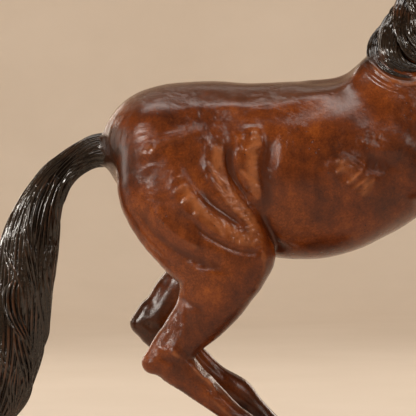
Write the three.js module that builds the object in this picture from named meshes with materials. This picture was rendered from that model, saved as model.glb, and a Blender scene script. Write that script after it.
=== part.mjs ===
// A rearing horse, cast in one piece with its mane and tail, standing on the hind hooves on a low oval ground plate.
// Millimetres, +Z up. The horse looks along +X and its left side is +Y. The origin is under the middle of the base.
import * as THREE from "three";

// Driving sizes, in millimetres
const FIGURE_HEIGHT = 480; // from the near hind sole to the tips of the ears
const BASE_LENGTH = 250;
const BASE_WIDTH = 136;
const BASE_THICKNESS = 25; // up to the ground under the near hind hoof
const RIM_HEIGHT = 13;
const RIM_BEVEL = 3;
const SEAT_GAP = 0.3; // between a sole and the ground

// The figure is drawn in units, 601 from the near sole, at 33, to the tips of the ears.
const UNITS_TALL = 601;
const NEAR_SOLE = 33;
const FAR_SOLE = 62;
const U = FIGURE_HEIGHT / UNITS_TALL;
const SAMPLE = 3.4; // units between samples of the form
const TRIANGLES = 8800;

const SUBSTEPS = 5; // pieces of each span of a limb
const REACH = 30; // units round a limb where it still matters to its neighbours
const OUTSIDE = 1e3;

// A limb is a list of stations [x, z, y, half depth seen from the side, half width] joined by a smooth line.
// relief(s, angle) raises or sinks its skin: s runs from 0 to 1 along it and the angle goes round it.
function limb(stations, side = 1, relief = null) {
  const line = new THREE.CatmullRomCurve3(
    stations.map(([x, z, y]) => new THREE.Vector3(x, side * y, z)),
    false,
    "centripetal",
  );
  const sizes = new THREE.CatmullRomCurve3(
    stations.map(([, , , r, w], i) => new THREE.Vector3(r, w, i)),
    false,
    "catmullrom",
    0.5,
  );
  const count = (stations.length - 1) * SUBSTEPS;
  const points = Array.from({ length: count + 1 }, (_, i) => line.getPoint(i / count));
  const radii = Array.from({ length: count + 1 }, (_, i) => sizes.getPoint(i / count));
  const box = new THREE.Box3();
  points.forEach((p, i) => {
    const room = new THREE.Vector3().setScalar(2 * (Math.max(radii[i].x, radii[i].y) + REACH));
    box.union(new THREE.Box3().setFromCenterAndSize(p, room));
  });
  const { min, max } = box;
  return (x, y, z) => {
    if (x < min.x || x > max.x || y < min.y || y > max.y || z < min.z || z > max.z) return OUTSIDE;
    let best = OUTSIDE;
    let place = 0;
    let angle = 0;
    for (let i = 1; i <= count; i++) {
      const a = points[i - 1];
      const ex = points[i].x - a.x;
      const ey = points[i].y - a.y;
      const ez = points[i].z - a.z;
      const along = ((x - a.x) * ex + (y - a.y) * ey + (z - a.z) * ez) / (ex * ex + ey * ey + ez * ez);
      const t = Math.min(1, Math.max(0, along));
      const dx = x - a.x - t * ex;
      const dy = y - a.y - t * ey;
      const dz = z - a.z - t * ez;
      const r = radii[i - 1].x + t * (radii[i].x - radii[i - 1].x);
      const w = radii[i - 1].y + t * (radii[i].y - radii[i - 1].y);
      const d = ellipse(dx * dx + dz * dz, dy * dy, r, w);
      if (d >= best) continue;
      best = d;
      if (!relief) continue;
      place = (i - 1 + t) / count;
      angle = Math.atan2(dy / w, Math.sign(ex * dz - ez * dx) * (Math.hypot(dx, dz) / r));
    }
    return relief ? best - relief(place, angle) : best;
  };
}

// Distance to an ellipse with half sizes r and w, from the squared offsets along each.
function ellipse(alongR, alongW, r, w) {
  const ratio = Math.sqrt(alongR / (r * r) + alongW / (w * w));
  if (ratio < 1e-6) return -Math.min(r, w);
  const slope = Math.sqrt(alongR / (r * r * r * r) + alongW / (w * w * w * w));
  return (ratio * (ratio - 1)) / slope;
}

// Joins two forms with a fillet about k wide.
function blend(a, b, k) {
  const h = Math.max(k - Math.abs(a - b), 0) / k;
  return Math.min(a, b) - (h * h * h * k) / 6;
}

function smooth(from, to, value) {
  const t = Math.min(1, Math.max(0, (value - from) / (to - from)));
  return t * t * (3 - 2 * t);
}

// Trunk
const trunk = limb([
  [-158, 381, 0, 35, 34],
  [-130, 373, 0, 61, 53],
  [-90, 363, 0, 76, 61],
  [-50, 357, 0, 80, 60],
  [-10, 350, 0, 88, 64],
  [24, 350, 0, 87, 67],
  [54, 357, 0, 81, 66],
  [84, 367, 0, 74, 60],
  [114, 380, 0, 64, 52],
  [140, 390, 0, 48, 42],
]);
const withers = limb([
  [20, 420, 0, 18, 16],
  [57, 424, 0, 20, 15],
  [92, 440, 0, 26, 18],
]);
const breast = limb([
  [150, 376, 18, 26, 20],
  [166, 386, 17, 22, 16],
]);

// Hind legs: hip, thigh, gaskin, hock, cannon, fetlock, pastern
const nearHind = limb(
  [
    [-128, 372, 24, 48, 32],
    [-113, 330, 30, 63, 36],
    [-91, 292, 34, 57, 37],
    [-77, 261, 37, 46, 33],
    [-80, 234, 38, 36, 26],
    [-94, 208, 37, 28, 19],
    [-112, 186, 35, 22.5, 15],
    [-124, 165, 34, 20.5, 14],
    [-102, 143, 33, 16.5, 12],
    [-80, 124, 32, 13, 10.5],
    [-57, 104, 32, 11, 9.5],
    [-35, 84, 32, 14, 12],
    [-19, 68, 32, 11, 10.5],
    [-9, 57, 32, 12.5, 12.5],
  ],
  -1,
);
const nearStifle = limb(
  [
    [-58, 292, 38, 26, 24],
    [-46, 266, 40, 24, 21],
    [-53, 246, 40, 20, 18],
  ],
  -1,
);
const nearHockPoint = limb(
  [
    [-128, 182, 34, 10, 9],
    [-142, 160, 34, 11, 10],
  ],
  -1,
);
const farHind = limb([
  [-128, 372, 24, 48, 32],
  [-112, 332, 30, 63, 36],
  [-88, 298, 34, 58, 36],
  [-76, 270, 37, 46, 32],
  [-90, 246, 38, 36, 26],
  [-112, 227, 37, 29, 19],
  [-130, 209, 35, 22.5, 15],
  [-141, 193, 34, 20, 14],
  [-120, 174, 33, 16.5, 12],
  [-98, 157, 32, 13, 10.5],
  [-79, 142, 32, 11, 9.5],
  [-58, 126, 32, 14.5, 12],
  [-42, 112, 32, 10.5, 10.5],
  [-28, 96, 32, 11, 11.5],
  [-19, 86, 32, 12.5, 12.5],
]);
const farHockPoint = limb([
  [-148, 208, 34, 10, 9],
  [-157, 195, 34, 10, 10],
]);

// Fore legs: the shoulder on both sides, then each leg in its own pose
const shoulder = limb([
  [84, 440, 24, 24, 14],
  [112, 407, 32, 38, 20],
  [146, 380, 36, 34, 20],
]);
const kneeBones = limb([
  [229, 340, 42, 7, 6],
  [228, 329, 42, 6, 5],
]);
const FAR_KNEE_SHIFT = [-5, 46];
const fetlockBones = limb([
  [222, 277, 42, 6, 6],
  [220, 268, 42, 7, 7],
]);
const FAR_FETLOCK_SHIFT = [10, 44];
const triceps = limb([
  [88, 374, 34, 30, 20],
  [114, 360, 40, 33, 22],
  [136, 342, 43, 25, 19],
]);
const nearFore = limb(
  [
    [134, 344, 43, 27, 19],
    [165, 334, 44, 24, 18],
    [200, 336, 43, 17.5, 14],
    [226, 342, 42, 14, 12],
    [243, 344, 42, 15.5, 14],
    [243, 323, 42, 12, 10],
    [236, 297, 42, 10, 8.5],
    [228, 273, 42, 13, 11.5],
    [214, 257, 42, 10.5, 10],
    [205, 249, 42, 12, 12.5],
  ],
  -1,
);
const farFore = limb([
  [134, 346, 43, 27, 19],
  [166, 354, 44, 24, 18],
  [200, 370, 43, 17.5, 14],
  [222, 383, 42, 14, 12],
  [238, 390, 42, 15.5, 14],
  [243, 369, 42, 12, 10],
  [243, 343, 42, 10, 8.5],
  [240, 318, 42, 13, 11.5],
  [228, 300, 42, 10.5, 10],
  [220, 292, 42, 12, 12.5],
]);

// A hoof grows wider down to a flat sole. Its toe looks along +X, turned up by pitch.
function hoof(x, z, y, pitch, side = 1) {
  const horn = limb([
    [-1, 20, 0, 11.5, 11.5],
    [2, 8, 0, 14, 13],
    [7, -10, 0, 18, 16.5],
  ]);
  const c = Math.cos(pitch);
  const s = Math.sin(pitch);
  return (px, py, pz) => {
    const up = (pz - z) * c - (px - x) * s;
    const ahead = (px - x) * c + (pz - z) * s;
    return Math.max(horn(ahead, py - side * y, up), -up);
  };
}
const NEAR_HOOF = { x: -4, y: 32 };
const FAR_HOOF = { x: -14, y: 32 };
const nearHindHoof = hoof(NEAR_HOOF.x, NEAR_SOLE, NEAR_HOOF.y, 0, -1);
const farHindHoof = hoof(FAR_HOOF.x, FAR_SOLE, FAR_HOOF.y, 0);
const nearForeHoof = hoof(190, 236, 42, -0.75, -1);
const farForeHoof = hoof(204, 280, 42, -0.7);

// Neck and head. A place on the head is (s, n): s along it from the poll to the muzzle, n towards the forehead.
const POLL = { x: 183, z: 600 };
const HEAD_TILT = -0.93;
function onHead(s, n, y, ...sizes) {
  const c = Math.cos(HEAD_TILT);
  const d = Math.sin(HEAD_TILT);
  return [POLL.x + s * c - n * d, POLL.z + s * d + n * c, y, ...sizes];
}
const neck = limb([
  [104, 404, 0, 64, 44],
  [131, 448, 0, 56, 37],
  [150, 492, 0, 48, 29],
  [165, 532, 0, 42, 25],
  [180, 568, 0, 35, 22],
]);
const skull = limb([
  onHead(15, 0, 0, 27, 18),
  onHead(38, -1, 0, 30, 22),
  onHead(64, 1, 0, 24, 19),
  onHead(90, 4, 0, 18.5, 14),
  onHead(112, 4, 0, 17, 13),
  onHead(128, 2, 0, 15.5, 13.5),
]);
const jowl = limb([
  onHead(40, -14, 12, 23, 10),
  onHead(58, -13, 12, 20, 9),
]);
const jaw = limb([
  onHead(66, -19, 0, 12, 13),
  onHead(94, -14, 0, 8, 10),
  onHead(116, -13, 0, 8, 9.5),
  onHead(127, -12, 0, 9, 10),
]);
const brow = limb([
  onHead(27, 17, 15, 5, 5),
  onHead(38, 19, 19, 5.5, 5),
  onHead(50, 15, 17, 4, 4),
]);
const eye = limb([
  onHead(40, 9, 17.5, 6.5, 5.5),
  onHead(44, 9, 17, 6.5, 5.5),
]);
const cheekRidge = limb([
  onHead(50, -2, 17, 5, 4),
  onHead(68, -1, 15, 5, 4),
  onHead(92, 1, 10, 4, 4),
]);
const nostril = limb([
  onHead(118, 10, 9, 6, 5),
  onHead(127, 6, 11, 7, 5.5),
]);
const ear = limb([
  [176, 602, 12, 9, 7],
  [179, 617, 15, 9, 5.5],
  [185, 633, 14, 3, 2.4],
]);

// Hair: locks with a rounded back and a valley between them, shallower where the hair thins out
function locks(count, depth, twist) {
  return (s, angle) => {
    const valley = 1 - Math.abs(Math.sin((count * (angle + twist * s)) / 2));
    return -depth * smooth(0, 0.15, s) * smooth(0, 0.25, 1 - s) * valley;
  };
}
const tail = limb(
  [
    [-180, 368, 0, 19, 15],
    [-201, 369, 0, 17.5, 14],
    [-222, 358, 0, 17, 16],
    [-239, 343, 0, 19, 18],
    [-250, 325, 0, 22, 21],
    [-258, 306, 0, 26, 24],
    [-265, 276, 0, 31, 27],
    [-272, 230, 0, 32, 28],
    [-281, 172, 0, 32, 27],
    [-294, 128, 0, 28, 23],
    [-312, 92, 0, 19, 16],
    [-328, 64, 0, 6, 6],
  ],
  1,
  locks(7, 5, 2.2),
);
const crest = limb([
  [90, 462, 0, 8, 10],
  [107, 498, 0, 9, 10],
  [124, 537, 0, 9, 10],
  [143, 574, 0, 9, 10],
  [166, 603, 0, 8, 9],
]);

// A lock of the mane starts on the crest at (x, z), swings back, hangs down one side and curls forward at its tip.
function maneLock(x, z, swing, drop, curl, side, thick) {
  return limb(
    [
      [x, z, 3, 0.8 * thick, 7],
      [x - 0.6 * swing, z - 0.15 * drop, 16, thick, 8],
      [x - swing, z - 0.36 * drop, 26, 1.1 * thick, 8],
      [x - 0.9 * swing, z - 0.58 * drop, 32, thick, 8],
      [x - 0.35 * swing + 0.15 * curl, z - 0.78 * drop, 35, 0.85 * thick, 7],
      [x - 0.2 * swing + 0.5 * curl, z - 0.93 * drop, 36, 0.6 * thick, 5],
      [x + curl, z - drop, 35, 2, 2.5],
    ],
    side,
    locks(3, 2.4, 1.5),
  );
}
const foremostRightLock = limb(
  [
    [116, 519, 8, 11, 8],
    [106, 502, 17, 12, 9],
    [95, 482, 26, 14, 9],
    [93, 464, 33, 13, 9],
    [102, 451, 37, 10.5, 8],
    [118, 446, 39, 7, 6],
    [138, 447, 39, 2.5, 3],
  ],
  -1,
  locks(3, 2.6, 1.5),
);
const flyingLock = limb(
  [
    [138, 548, 5, 10, 8],
    [124, 534, 11, 10, 8],
    [108, 529, 15, 9, 7],
    [93, 533, 17, 7, 6],
    [78, 541, 17, 4.5, 5],
    [63, 547, 15, 1.5, 2],
  ],
  -1,
  locks(3, 1.8, 1.5),
);
const forelock = limb([
  [176, 608, 0, 6, 10],
  [194, 608, -1, 6, 11],
  [212, 596, -3, 5, 9],
  [226, 576, -7, 3, 5],
  [233, 560, -9, 1.5, 2],
]);
const mane = [
  crest,
  foremostRightLock,
  flyingLock,
  forelock,
  maneLock(120, 530, 14, 86, 20, -1, 12),
  maneLock(127, 543, 8, 92, 26, -1, 10),
  maneLock(134, 557, 14, 84, 14, -1, 12),
  maneLock(143, 571, 10, 98, 30, -1, 10),
  maneLock(151, 585, 14, 82, 12, -1, 11),
  maneLock(160, 597, 10, 90, 24, -1, 9),
  maneLock(170, 604, 9, 66, 6, -1, 8),
  maneLock(96, 480, 10, 48, 14, 1, 10),
  maneLock(110, 510, 12, 66, 20, 1, 11),
  maneLock(124, 538, 11, 70, 12, 1, 11),
  maneLock(139, 564, 12, 76, 22, 1, 11),
  maneLock(154, 588, 11, 66, 10, 1, 10),
];

// Carving: folds and hollows drawn on the side of the body as lines [x, z], each raised (or sunk) by a height
// over a width. They fade out at both ends.
const bodyCarving = [
  // the line of the hip and the loin
  { width: 8, height: 2.6, line: [[-123, 404], [-104, 411], [-87, 410], [-63, 413], [-38, 411], [-7, 416], [24, 427], [66, 440]] },
  { width: 8, height: -2, line: [[-137, 386], [-121, 391.5], [-99, 395], [-75, 396.5], [-40, 400], [0, 404], [44, 414]] },
  { width: 6.5, height: 3, line: [[-156, 362], [-138, 372], [-121, 379.5], [-104, 385.5], [-88, 391]] },
  // two crescent folds above the stifle, each with a groove on its upper side
  {
    width: 5.5,
    height: 3.4,
    line: [[-123, 351], [-118, 337], [-112, 322], [-105, 308], [-95, 297], [-84, 287], [-67, 279], [-53, 273], [-43, 272]],
  },
  { width: 5, height: -3.6, line: [[-112, 334], [-104, 318], [-93, 306], [-81, 297], [-67, 287], [-51, 279]] },
  {
    width: 6,
    height: 3.4,
    line: [[-80, 380], [-87, 367], [-90, 354], [-88, 339], [-82, 325], [-74, 311], [-65, 305], [-56, 299], [-47, 291], [-39, 283]],
  },
  { width: 5, height: -4.2, line: [[-75, 369], [-76, 355], [-70, 339], [-64, 327], [-55, 315]] },
  // the point of the hip and the folds that hang from it
  { width: 5.5, height: 3.8, line: [[-42, 389], [-54, 380], [-62, 372], [-64, 362], [-61, 350], [-59, 337], [-54, 324]] },
  { width: 3.5, height: 2.4, line: [[-43, 390], [-39, 379], [-34, 366]] },
  { width: 4, height: -2.2, line: [[-33, 384], [-29, 373], [-26, 362]] },
  { width: 5, height: 1.6, line: [[-43, 372], [-42, 355], [-41, 336], [-38, 319], [-29, 299], [-21, 284]] },
  { width: 6.5, height: -2.6, line: [[-33, 365], [-33, 345], [-31, 325], [-24, 306], [-16, 288], [-12, 270]] },
  // the back of the thigh
  { width: 5.5, height: -3, line: [[-158, 316], [-147, 299], [-135, 285], [-121, 274], [-106, 265], [-87, 257], [-72, 252]] },
  { width: 6, height: 1.8, line: [[-146, 312], [-135, 297], [-123, 286], [-109, 277], [-91, 269]] },
  { width: 3.6, height: -1.8, line: [[-169, 309], [-156, 287], [-144, 273], [-128, 260], [-111, 251]] },
  // ribs, elbow and shoulder
  { width: 8, height: 3, line: [[38, 362], [55, 338], [68, 327], [80, 329]] },
  { width: 9, height: -2.4, line: [[66, 356], [78, 348], [100, 349]] },
  { width: 13, height: 3.4, line: [[42, 378], [71, 370], [94, 374], [122, 396]] },
  { width: 8, height: 2.6, line: [[96, 430], [118, 408], [140, 386], [158, 368]] },
  { width: 7, height: -2.6, line: [[92, 408], [104, 388], [122, 372], [142, 358]] },
  { width: 8, height: -2, line: [[122, 428], [146, 408], [166, 392]] },
  // the skin fold under the mane, and the neck
  { width: 3.6, height: 3, line: [[72, 456], [80, 446], [92, 437], [108, 432], [124, 433]] },
  { width: 3, height: -2, line: [[77, 458], [88, 446], [100, 440], [116, 438]] },
  { width: 6, height: -2.6, line: [[190, 532], [178, 505], [168, 470], [160, 436], [156, 412]] },
  { width: 7, height: 2.2, line: [[202, 524], [192, 500], [182, 468], [174, 440], [168, 414]] },
  { width: 8, height: 2, line: [[160, 520], [146, 486], [132, 456], [120, 428]] },
];

// The near hind leg's tendon, hock and cannon; the far one has the same, moved to its own hock.
const FAR_HOCK_SHIFT = [-17, 28];
const hindLegCarving = [
  { width: 4, height: -2.2, line: [[-117, 222], [-119, 199], [-127, 183], [-137, 170]] },
  { width: 4.5, height: -1.6, line: [[-117, 226], [-104, 219], [-92, 213]] },
  { width: 5, height: 1.8, line: [[-125, 172], [-118, 168], [-106, 160]] },
  { width: 3.2, height: 1.8, line: [[-106, 160], [-97, 150], [-88, 141], [-76, 129]] },
  { width: 3.4, height: -1.8, line: [[-100, 163], [-91, 151], [-80, 138], [-64, 122], [-50, 107]] },
  { width: 3, height: 1.4, line: [[-90, 130], [-74, 115], [-60, 102], [-46, 90]] },
  { width: 4, height: 1.8, line: [[-35, 272], [-33, 261], [-36, 244], [-43, 229]] },
];

const faceCarving = [
  { width: 3, height: -3.4, line: [onHead(140, -8, 0), onHead(126, -7, 0), onHead(108, -3, 0)] },
  { width: 3, height: -4.5, line: [onHead(130, 6, 0), onHead(125, 8, 0), onHead(119, 5, 0)] },
  { width: 3, height: -2.6, line: [onHead(31, 4, 0), onHead(42, 1, 0), onHead(54, 6, 0)] },
  { width: 2.5, height: -2, line: [onHead(34, 15, 0), onHead(43, 16, 0), onHead(52, 11, 0)] },
  { width: 5, height: -2.6, line: [onHead(12, -8, 0), onHead(22, -30, 0), onHead(42, -40, 0), onHead(62, -37, 0)] },
  { width: 5, height: -2, line: [onHead(64, 9, 0), onHead(82, 10, 0), onHead(104, 9, 0)] },
  { width: 3.4, height: -4, line: [[187, 606], [189, 617], [188, 629]] },
].map(({ line, ...rest }) => ({ ...rest, line: line.map(([x, z]) => [x, z]) }));
const MAP_STEP = 2;

// Sums all strokes on a grid of the side view, so that they are quick to look up. They are full beyond outer
// from the middle plane, and gone inside inner.
function carve(strokeList, inner, outer) {
  const reach = 20;
  const all = strokeList.flatMap(({ line }) => line);
  const lowX = Math.min(...all.map(([x]) => x)) - reach;
  const lowZ = Math.min(...all.map(([, z]) => z)) - reach;
  const columns = Math.ceil((Math.max(...all.map(([x]) => x)) + reach - lowX) / MAP_STEP);
  const rows = Math.ceil((Math.max(...all.map(([, z]) => z)) + reach - lowZ) / MAP_STEP);
  const heights = new Float32Array(columns * rows);
  for (const { width, height, line } of strokeList) {
    const path = new THREE.CatmullRomCurve3(line.map(([x, z]) => new THREE.Vector3(x, 0, z)), false, "centripetal");
    const dots = path.getPoints(line.length * 8);
    for (let i = 0; i < columns; i++) {
      for (let k = 0; k < rows; k++) {
        let nearest = OUTSIDE;
        let at = 0;
        dots.forEach((dot, n) => {
          const d = Math.hypot(dot.x - lowX - i * MAP_STEP, dot.z - lowZ - k * MAP_STEP);
          if (d < nearest) [nearest, at] = [d, n / (dots.length - 1)];
        });
        const fade = smooth(-0.08, 0.2, at) * smooth(-0.08, 0.2, 1 - at);
        heights[i * rows + k] += height * fade * Math.exp(-((nearest / width) ** 2));
      }
    }
  }
  return (x, y, z) => {
    const u = (x - lowX) / MAP_STEP;
    const v = (z - lowZ) / MAP_STEP;
    const i = Math.floor(u);
    const k = Math.floor(v);
    if (i < 0 || k < 0 || i >= columns - 1 || k >= rows - 1) return 0;
    const at = i * rows + k;
    const low = heights[at] + (u - i) * (heights[at + rows] - heights[at]);
    const high = heights[at + 1] + (u - i) * (heights[at + rows + 1] - heights[at + 1]);
    return (low + (v - k) * (high - low)) * smooth(inner, outer, Math.abs(y));
  };
}
const carvedBody = carve(bodyCarving, 10, 26);
const carvedFace = carve(faceCarving, 3, 9);
const carvedNearHind = carve(hindLegCarving, 14, 26);
const carvedFarHind = carve(
  hindLegCarving.map(({ line, ...rest }) => {
    return { ...rest, line: line.map(([x, z]) => [x + FAR_HOCK_SHIFT[0], z + FAR_HOCK_SHIFT[1]]) };
  }),
  14,
  26,
);

// The whole figure as one field: below 0 inside, above 0 outside.
function figure(x, y, z) {
  const half = Math.abs(y);
  let body = blend(trunk(x, y, z), withers(x, y, z), 14);
  body = blend(body, neck(x, y, z), 24);
  body = blend(body, breast(x, half, z), 12);
  body = blend(body, shoulder(x, half, z), 14);
  body = blend(body, triceps(x, half, z), 9);
  let near = blend(nearHind(x, y, z), nearStifle(x, y, z), 12);
  near = blend(near, nearHockPoint(x, y, z), 9);
  const far = blend(farHind(x, y, z), farHockPoint(x, y, z), 9);
  body = blend(body, blend(near, nearHindHoof(x, y, z), 3), 12);
  body = blend(body, blend(far, farHindHoof(x, y, z), 3), 12);
  body -= y < 0 ? carvedNearHind(x, y, z) : carvedFarHind(x, y, z);
  let nearArm = blend(nearFore(x, y, z), kneeBones(x, -y, z), 5);
  nearArm = blend(nearArm, fetlockBones(x, -y, z), 5);
  let farArm = blend(farFore(x, y, z), kneeBones(x - FAR_KNEE_SHIFT[0], y, z - FAR_KNEE_SHIFT[1]), 5);
  farArm = blend(farArm, fetlockBones(x - FAR_FETLOCK_SHIFT[0], y, z - FAR_FETLOCK_SHIFT[1]), 5);
  body = blend(body, blend(nearArm, nearForeHoof(x, y, z), 3), 12);
  body = blend(body, blend(farArm, farForeHoof(x, y, z), 3), 12);
  let head = blend(skull(x, y, z), jowl(x, half, z), 7);
  head = blend(head, jaw(x, y, z), 5);
  head = blend(head, cheekRidge(x, half, z), 4);
  head = blend(head, brow(x, half, z), 4);
  head = blend(head, nostril(x, half, z), 3);
  head = blend(head, ear(x, half, z), 4) - carvedFace(x, y, z);
  head = blend(head, eye(x, half, z), 1);
  body = blend(body, head, 12) - carvedBody(x, y, z);
  body = blend(body, tail(x, y, z), 8);
  for (const lock of mane) body = blend(body, lock(x, y, z), 3);
  return body;
}

const CORNERS = [0, 1, 2, 3, 4, 5, 6, 7].map((n) => [n & 1, (n >> 1) & 1, n >> 2]);

// Samples the figure on a grid. Blocks of the grid that lie far from the skin take one value for all.
const BLOCK = 4;
const LOW = new THREE.Vector3(-345, -82, 22);
const HIGH = new THREE.Vector3(285, 82, 642);
function sampleFigure(step) {
  const size = HIGH.clone().sub(LOW).divideScalar(step).ceil().addScalar(1).toArray();
  const values = new Float32Array(size[0] * size[1] * size[2]);
  const at = (i, j, k) => figure(LOW.x + i * step, LOW.y + j * step, LOW.z + k * step);
  for (let i = 0; i < size[0]; i += BLOCK) {
    for (let j = 0; j < size[1]; j += BLOCK) {
      for (let k = 0; k < size[2]; k += BLOCK) {
        const middle = at(i + BLOCK / 2, j + BLOCK / 2, k + BLOCK / 2);
        const far = Math.abs(middle) > BLOCK * step * Math.sqrt(3);
        for (let a = i; a < Math.min(i + BLOCK, size[0]); a++) {
          for (let b = j; b < Math.min(j + BLOCK, size[1]); b++) {
            for (let c = k; c < Math.min(k + BLOCK, size[2]); c++) {
              values[(a * size[1] + b) * size[2] + c] = far ? middle : at(a, b, c);
            }
          }
        }
      }
    }
  }
  return { values, size };
}

// Where inside and outside samples touch only across a diagonal, the mesh would touch itself there. The weakest
// outside sample of each such spot is moved just inside, until none is left.
function closeDiagonals({ values, size: [nx, ny, nz] }) {
  const strides = [ny * nz, nz, 1];
  const justInside = -0.05;
  const isInside = (n) => values[n] < 0;
  let open = true;
  const close = (spots) => {
    const outside = spots.filter((n) => !isInside(n));
    values[outside.reduce((a, b) => (values[a] < values[b] ? a : b))] = justInside;
    open = true;
  };
  while (open) {
    open = false;
    for (let cell = 0; cell < values.length - strides[0] - strides[1] - 1; cell++) {
      if (Math.abs(values[cell]) > 4 * SAMPLE) continue;
      for (const [u, v] of [[0, 1], [0, 2], [1, 2]]) {
        const face = [cell, cell + strides[u], cell + strides[v], cell + strides[u] + strides[v]];
        const [a, b, c, d] = face.map(isInside);
        if (a === d && b === c && a !== b) close(face);
      }
      const all = CORNERS.map(([a, b, c]) => cell + a * strides[0] + b * strides[1] + c);
      const within = all.filter(isInside);
      for (let n = 0; n < 4; n++) {
        const pair = [all[n], all[7 - n]];
        const lone = within.length === 2 && pair.every(isInside);
        const gap = within.length === 6 && !pair.some(isInside);
        if (lone) close(all);
        if (gap) close(pair);
      }
    }
  }
  return { values, size: [nx, ny, nz] };
}

// Wraps the sampled figure in a closed mesh: one point in each cell that the skin crosses, one square for each
// grid edge that it crosses.
const CELL_EDGES = CORNERS.flatMap((_, a) => [1, 2, 4].filter((bit) => !(a & bit)).map((bit) => [a, a | bit]));
function wrap({ values, size: [nx, ny, nz] }, step) {
  const strides = [ny * nz, nz, 1];
  const points = [];
  const faces = [];
  const pointOf = new Int32Array(values.length).fill(-1);
  for (let i = 0; i < nx - 1; i++) {
    for (let j = 0; j < ny - 1; j++) {
      for (let k = 0; k < nz - 1; k++) {
        const cell = i * strides[0] + j * strides[1] + k;
        const corner = CORNERS.map(([a, b, c]) => values[cell + a * strides[0] + b * strides[1] + c]);
        const crossed = CELL_EDGES.filter(([a, b]) => corner[a] < 0 !== corner[b] < 0);
        if (!crossed.length) continue;
        const place = [0, 0, 0];
        for (const [a, b] of crossed) {
          const t = corner[a] / (corner[a] - corner[b]);
          for (let q = 0; q < 3; q++) {
            place[q] += (CORNERS[a][q] + t * (CORNERS[b][q] - CORNERS[a][q])) / crossed.length;
          }
        }
        pointOf[cell] = points.length / 3;
        points.push(LOW.x + (i + place[0]) * step, LOW.y + (j + place[1]) * step, LOW.z + (k + place[2]) * step);
      }
    }
  }
  for (let i = 1; i < nx - 1; i++) {
    for (let j = 1; j < ny - 1; j++) {
      for (let k = 1; k < nz - 1; k++) {
        const cell = i * strides[0] + j * strides[1] + k;
        const inside = values[cell] < 0;
        for (let axis = 0; axis < 3; axis++) {
          if (inside === values[cell + strides[axis]] < 0) continue;
          const u = strides[(axis + 1) % 3];
          const v = strides[(axis + 2) % 3];
          const square = [cell - u - v, cell - v, cell, cell - u].map((c) => pointOf[c]);
          if (!inside) square.reverse();
          const [a, b, c, d] = square;
          faces.push(a, b, c, a, c, d);
        }
      }
    }
  }
  return { points, faces };
}

// Keeps the largest shell of a mesh and drops the specks and the closed pockets.
function largestShell({ points, faces }) {
  const parent = Int32Array.from({ length: points.length / 3 }, (_, n) => n);
  const root = (n) => {
    while (parent[n] !== n) {
      parent[n] = parent[parent[n]];
      n = parent[n];
    }
    return n;
  };
  for (let i = 0; i < faces.length; i += 3) {
    parent[root(faces[i])] = root(faces[i + 1]);
    parent[root(faces[i + 1])] = root(faces[i + 2]);
  }
  const sizes = new Map();
  for (const n of faces) sizes.set(root(n), (sizes.get(root(n)) ?? 0) + 1);
  const [largest] = [...sizes].reduce((a, b) => (a[1] > b[1] ? a : b));
  return { points, faces: faces.filter((n) => root(n) === largest) };
}

// Pulls every point onto the skin along the slope of the field.
function settle(points, rounds) {
  const h = 0.4;
  const furthest = 2;
  for (let round = 0; round < rounds; round++) {
    for (let i = 0; i < points.length; i += 3) {
      const [x, y, z] = points.slice(i, i + 3);
      const value = Math.max(-furthest, Math.min(furthest, figure(x, y, z)));
      const slope = [
        (figure(x + h, y, z) - figure(x - h, y, z)) / (2 * h),
        (figure(x, y + h, z) - figure(x, y - h, z)) / (2 * h),
        (figure(x, y, z + h) - figure(x, y, z - h)) / (2 * h),
      ];
      const steepness = slope[0] ** 2 + slope[1] ** 2 + slope[2] ** 2 + 1e-9;
      for (let q = 0; q < 3; q++) points[i + q] -= (value * slope[q]) / steepness;
    }
  }
}

// A heap that gives back the entry with the smallest cost first.
class Heap {
  entries = [];

  push(entry) {
    const list = this.entries;
    let n = list.push(entry) - 1;
    while (n > 0) {
      const parent = (n - 1) >> 1;
      if (list[parent].cost <= list[n].cost) break;
      [list[parent], list[n]] = [list[n], list[parent]];
      n = parent;
    }
  }

  pop() {
    const list = this.entries;
    const first = list[0];
    const last = list.pop();
    if (!list.length) return first;
    list[0] = last;
    for (let n = 0; ; ) {
      let least = n;
      for (const child of [2 * n + 1, 2 * n + 2]) {
        if (child < list.length && list[child].cost < list[least].cost) least = child;
      }
      if (least === n) return first;
      [list[least], list[n]] = [list[n], list[least]];
      n = least;
    }
  }
}

// The head and the carving keep more of their triangles than the plain skin does.
function care(x, y, z) {
  const head = smooth(480, 500, z) * smooth(170, 195, x);
  return 1 + 2 * head + Math.abs(carvedBody(x, y, z));
}

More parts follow.
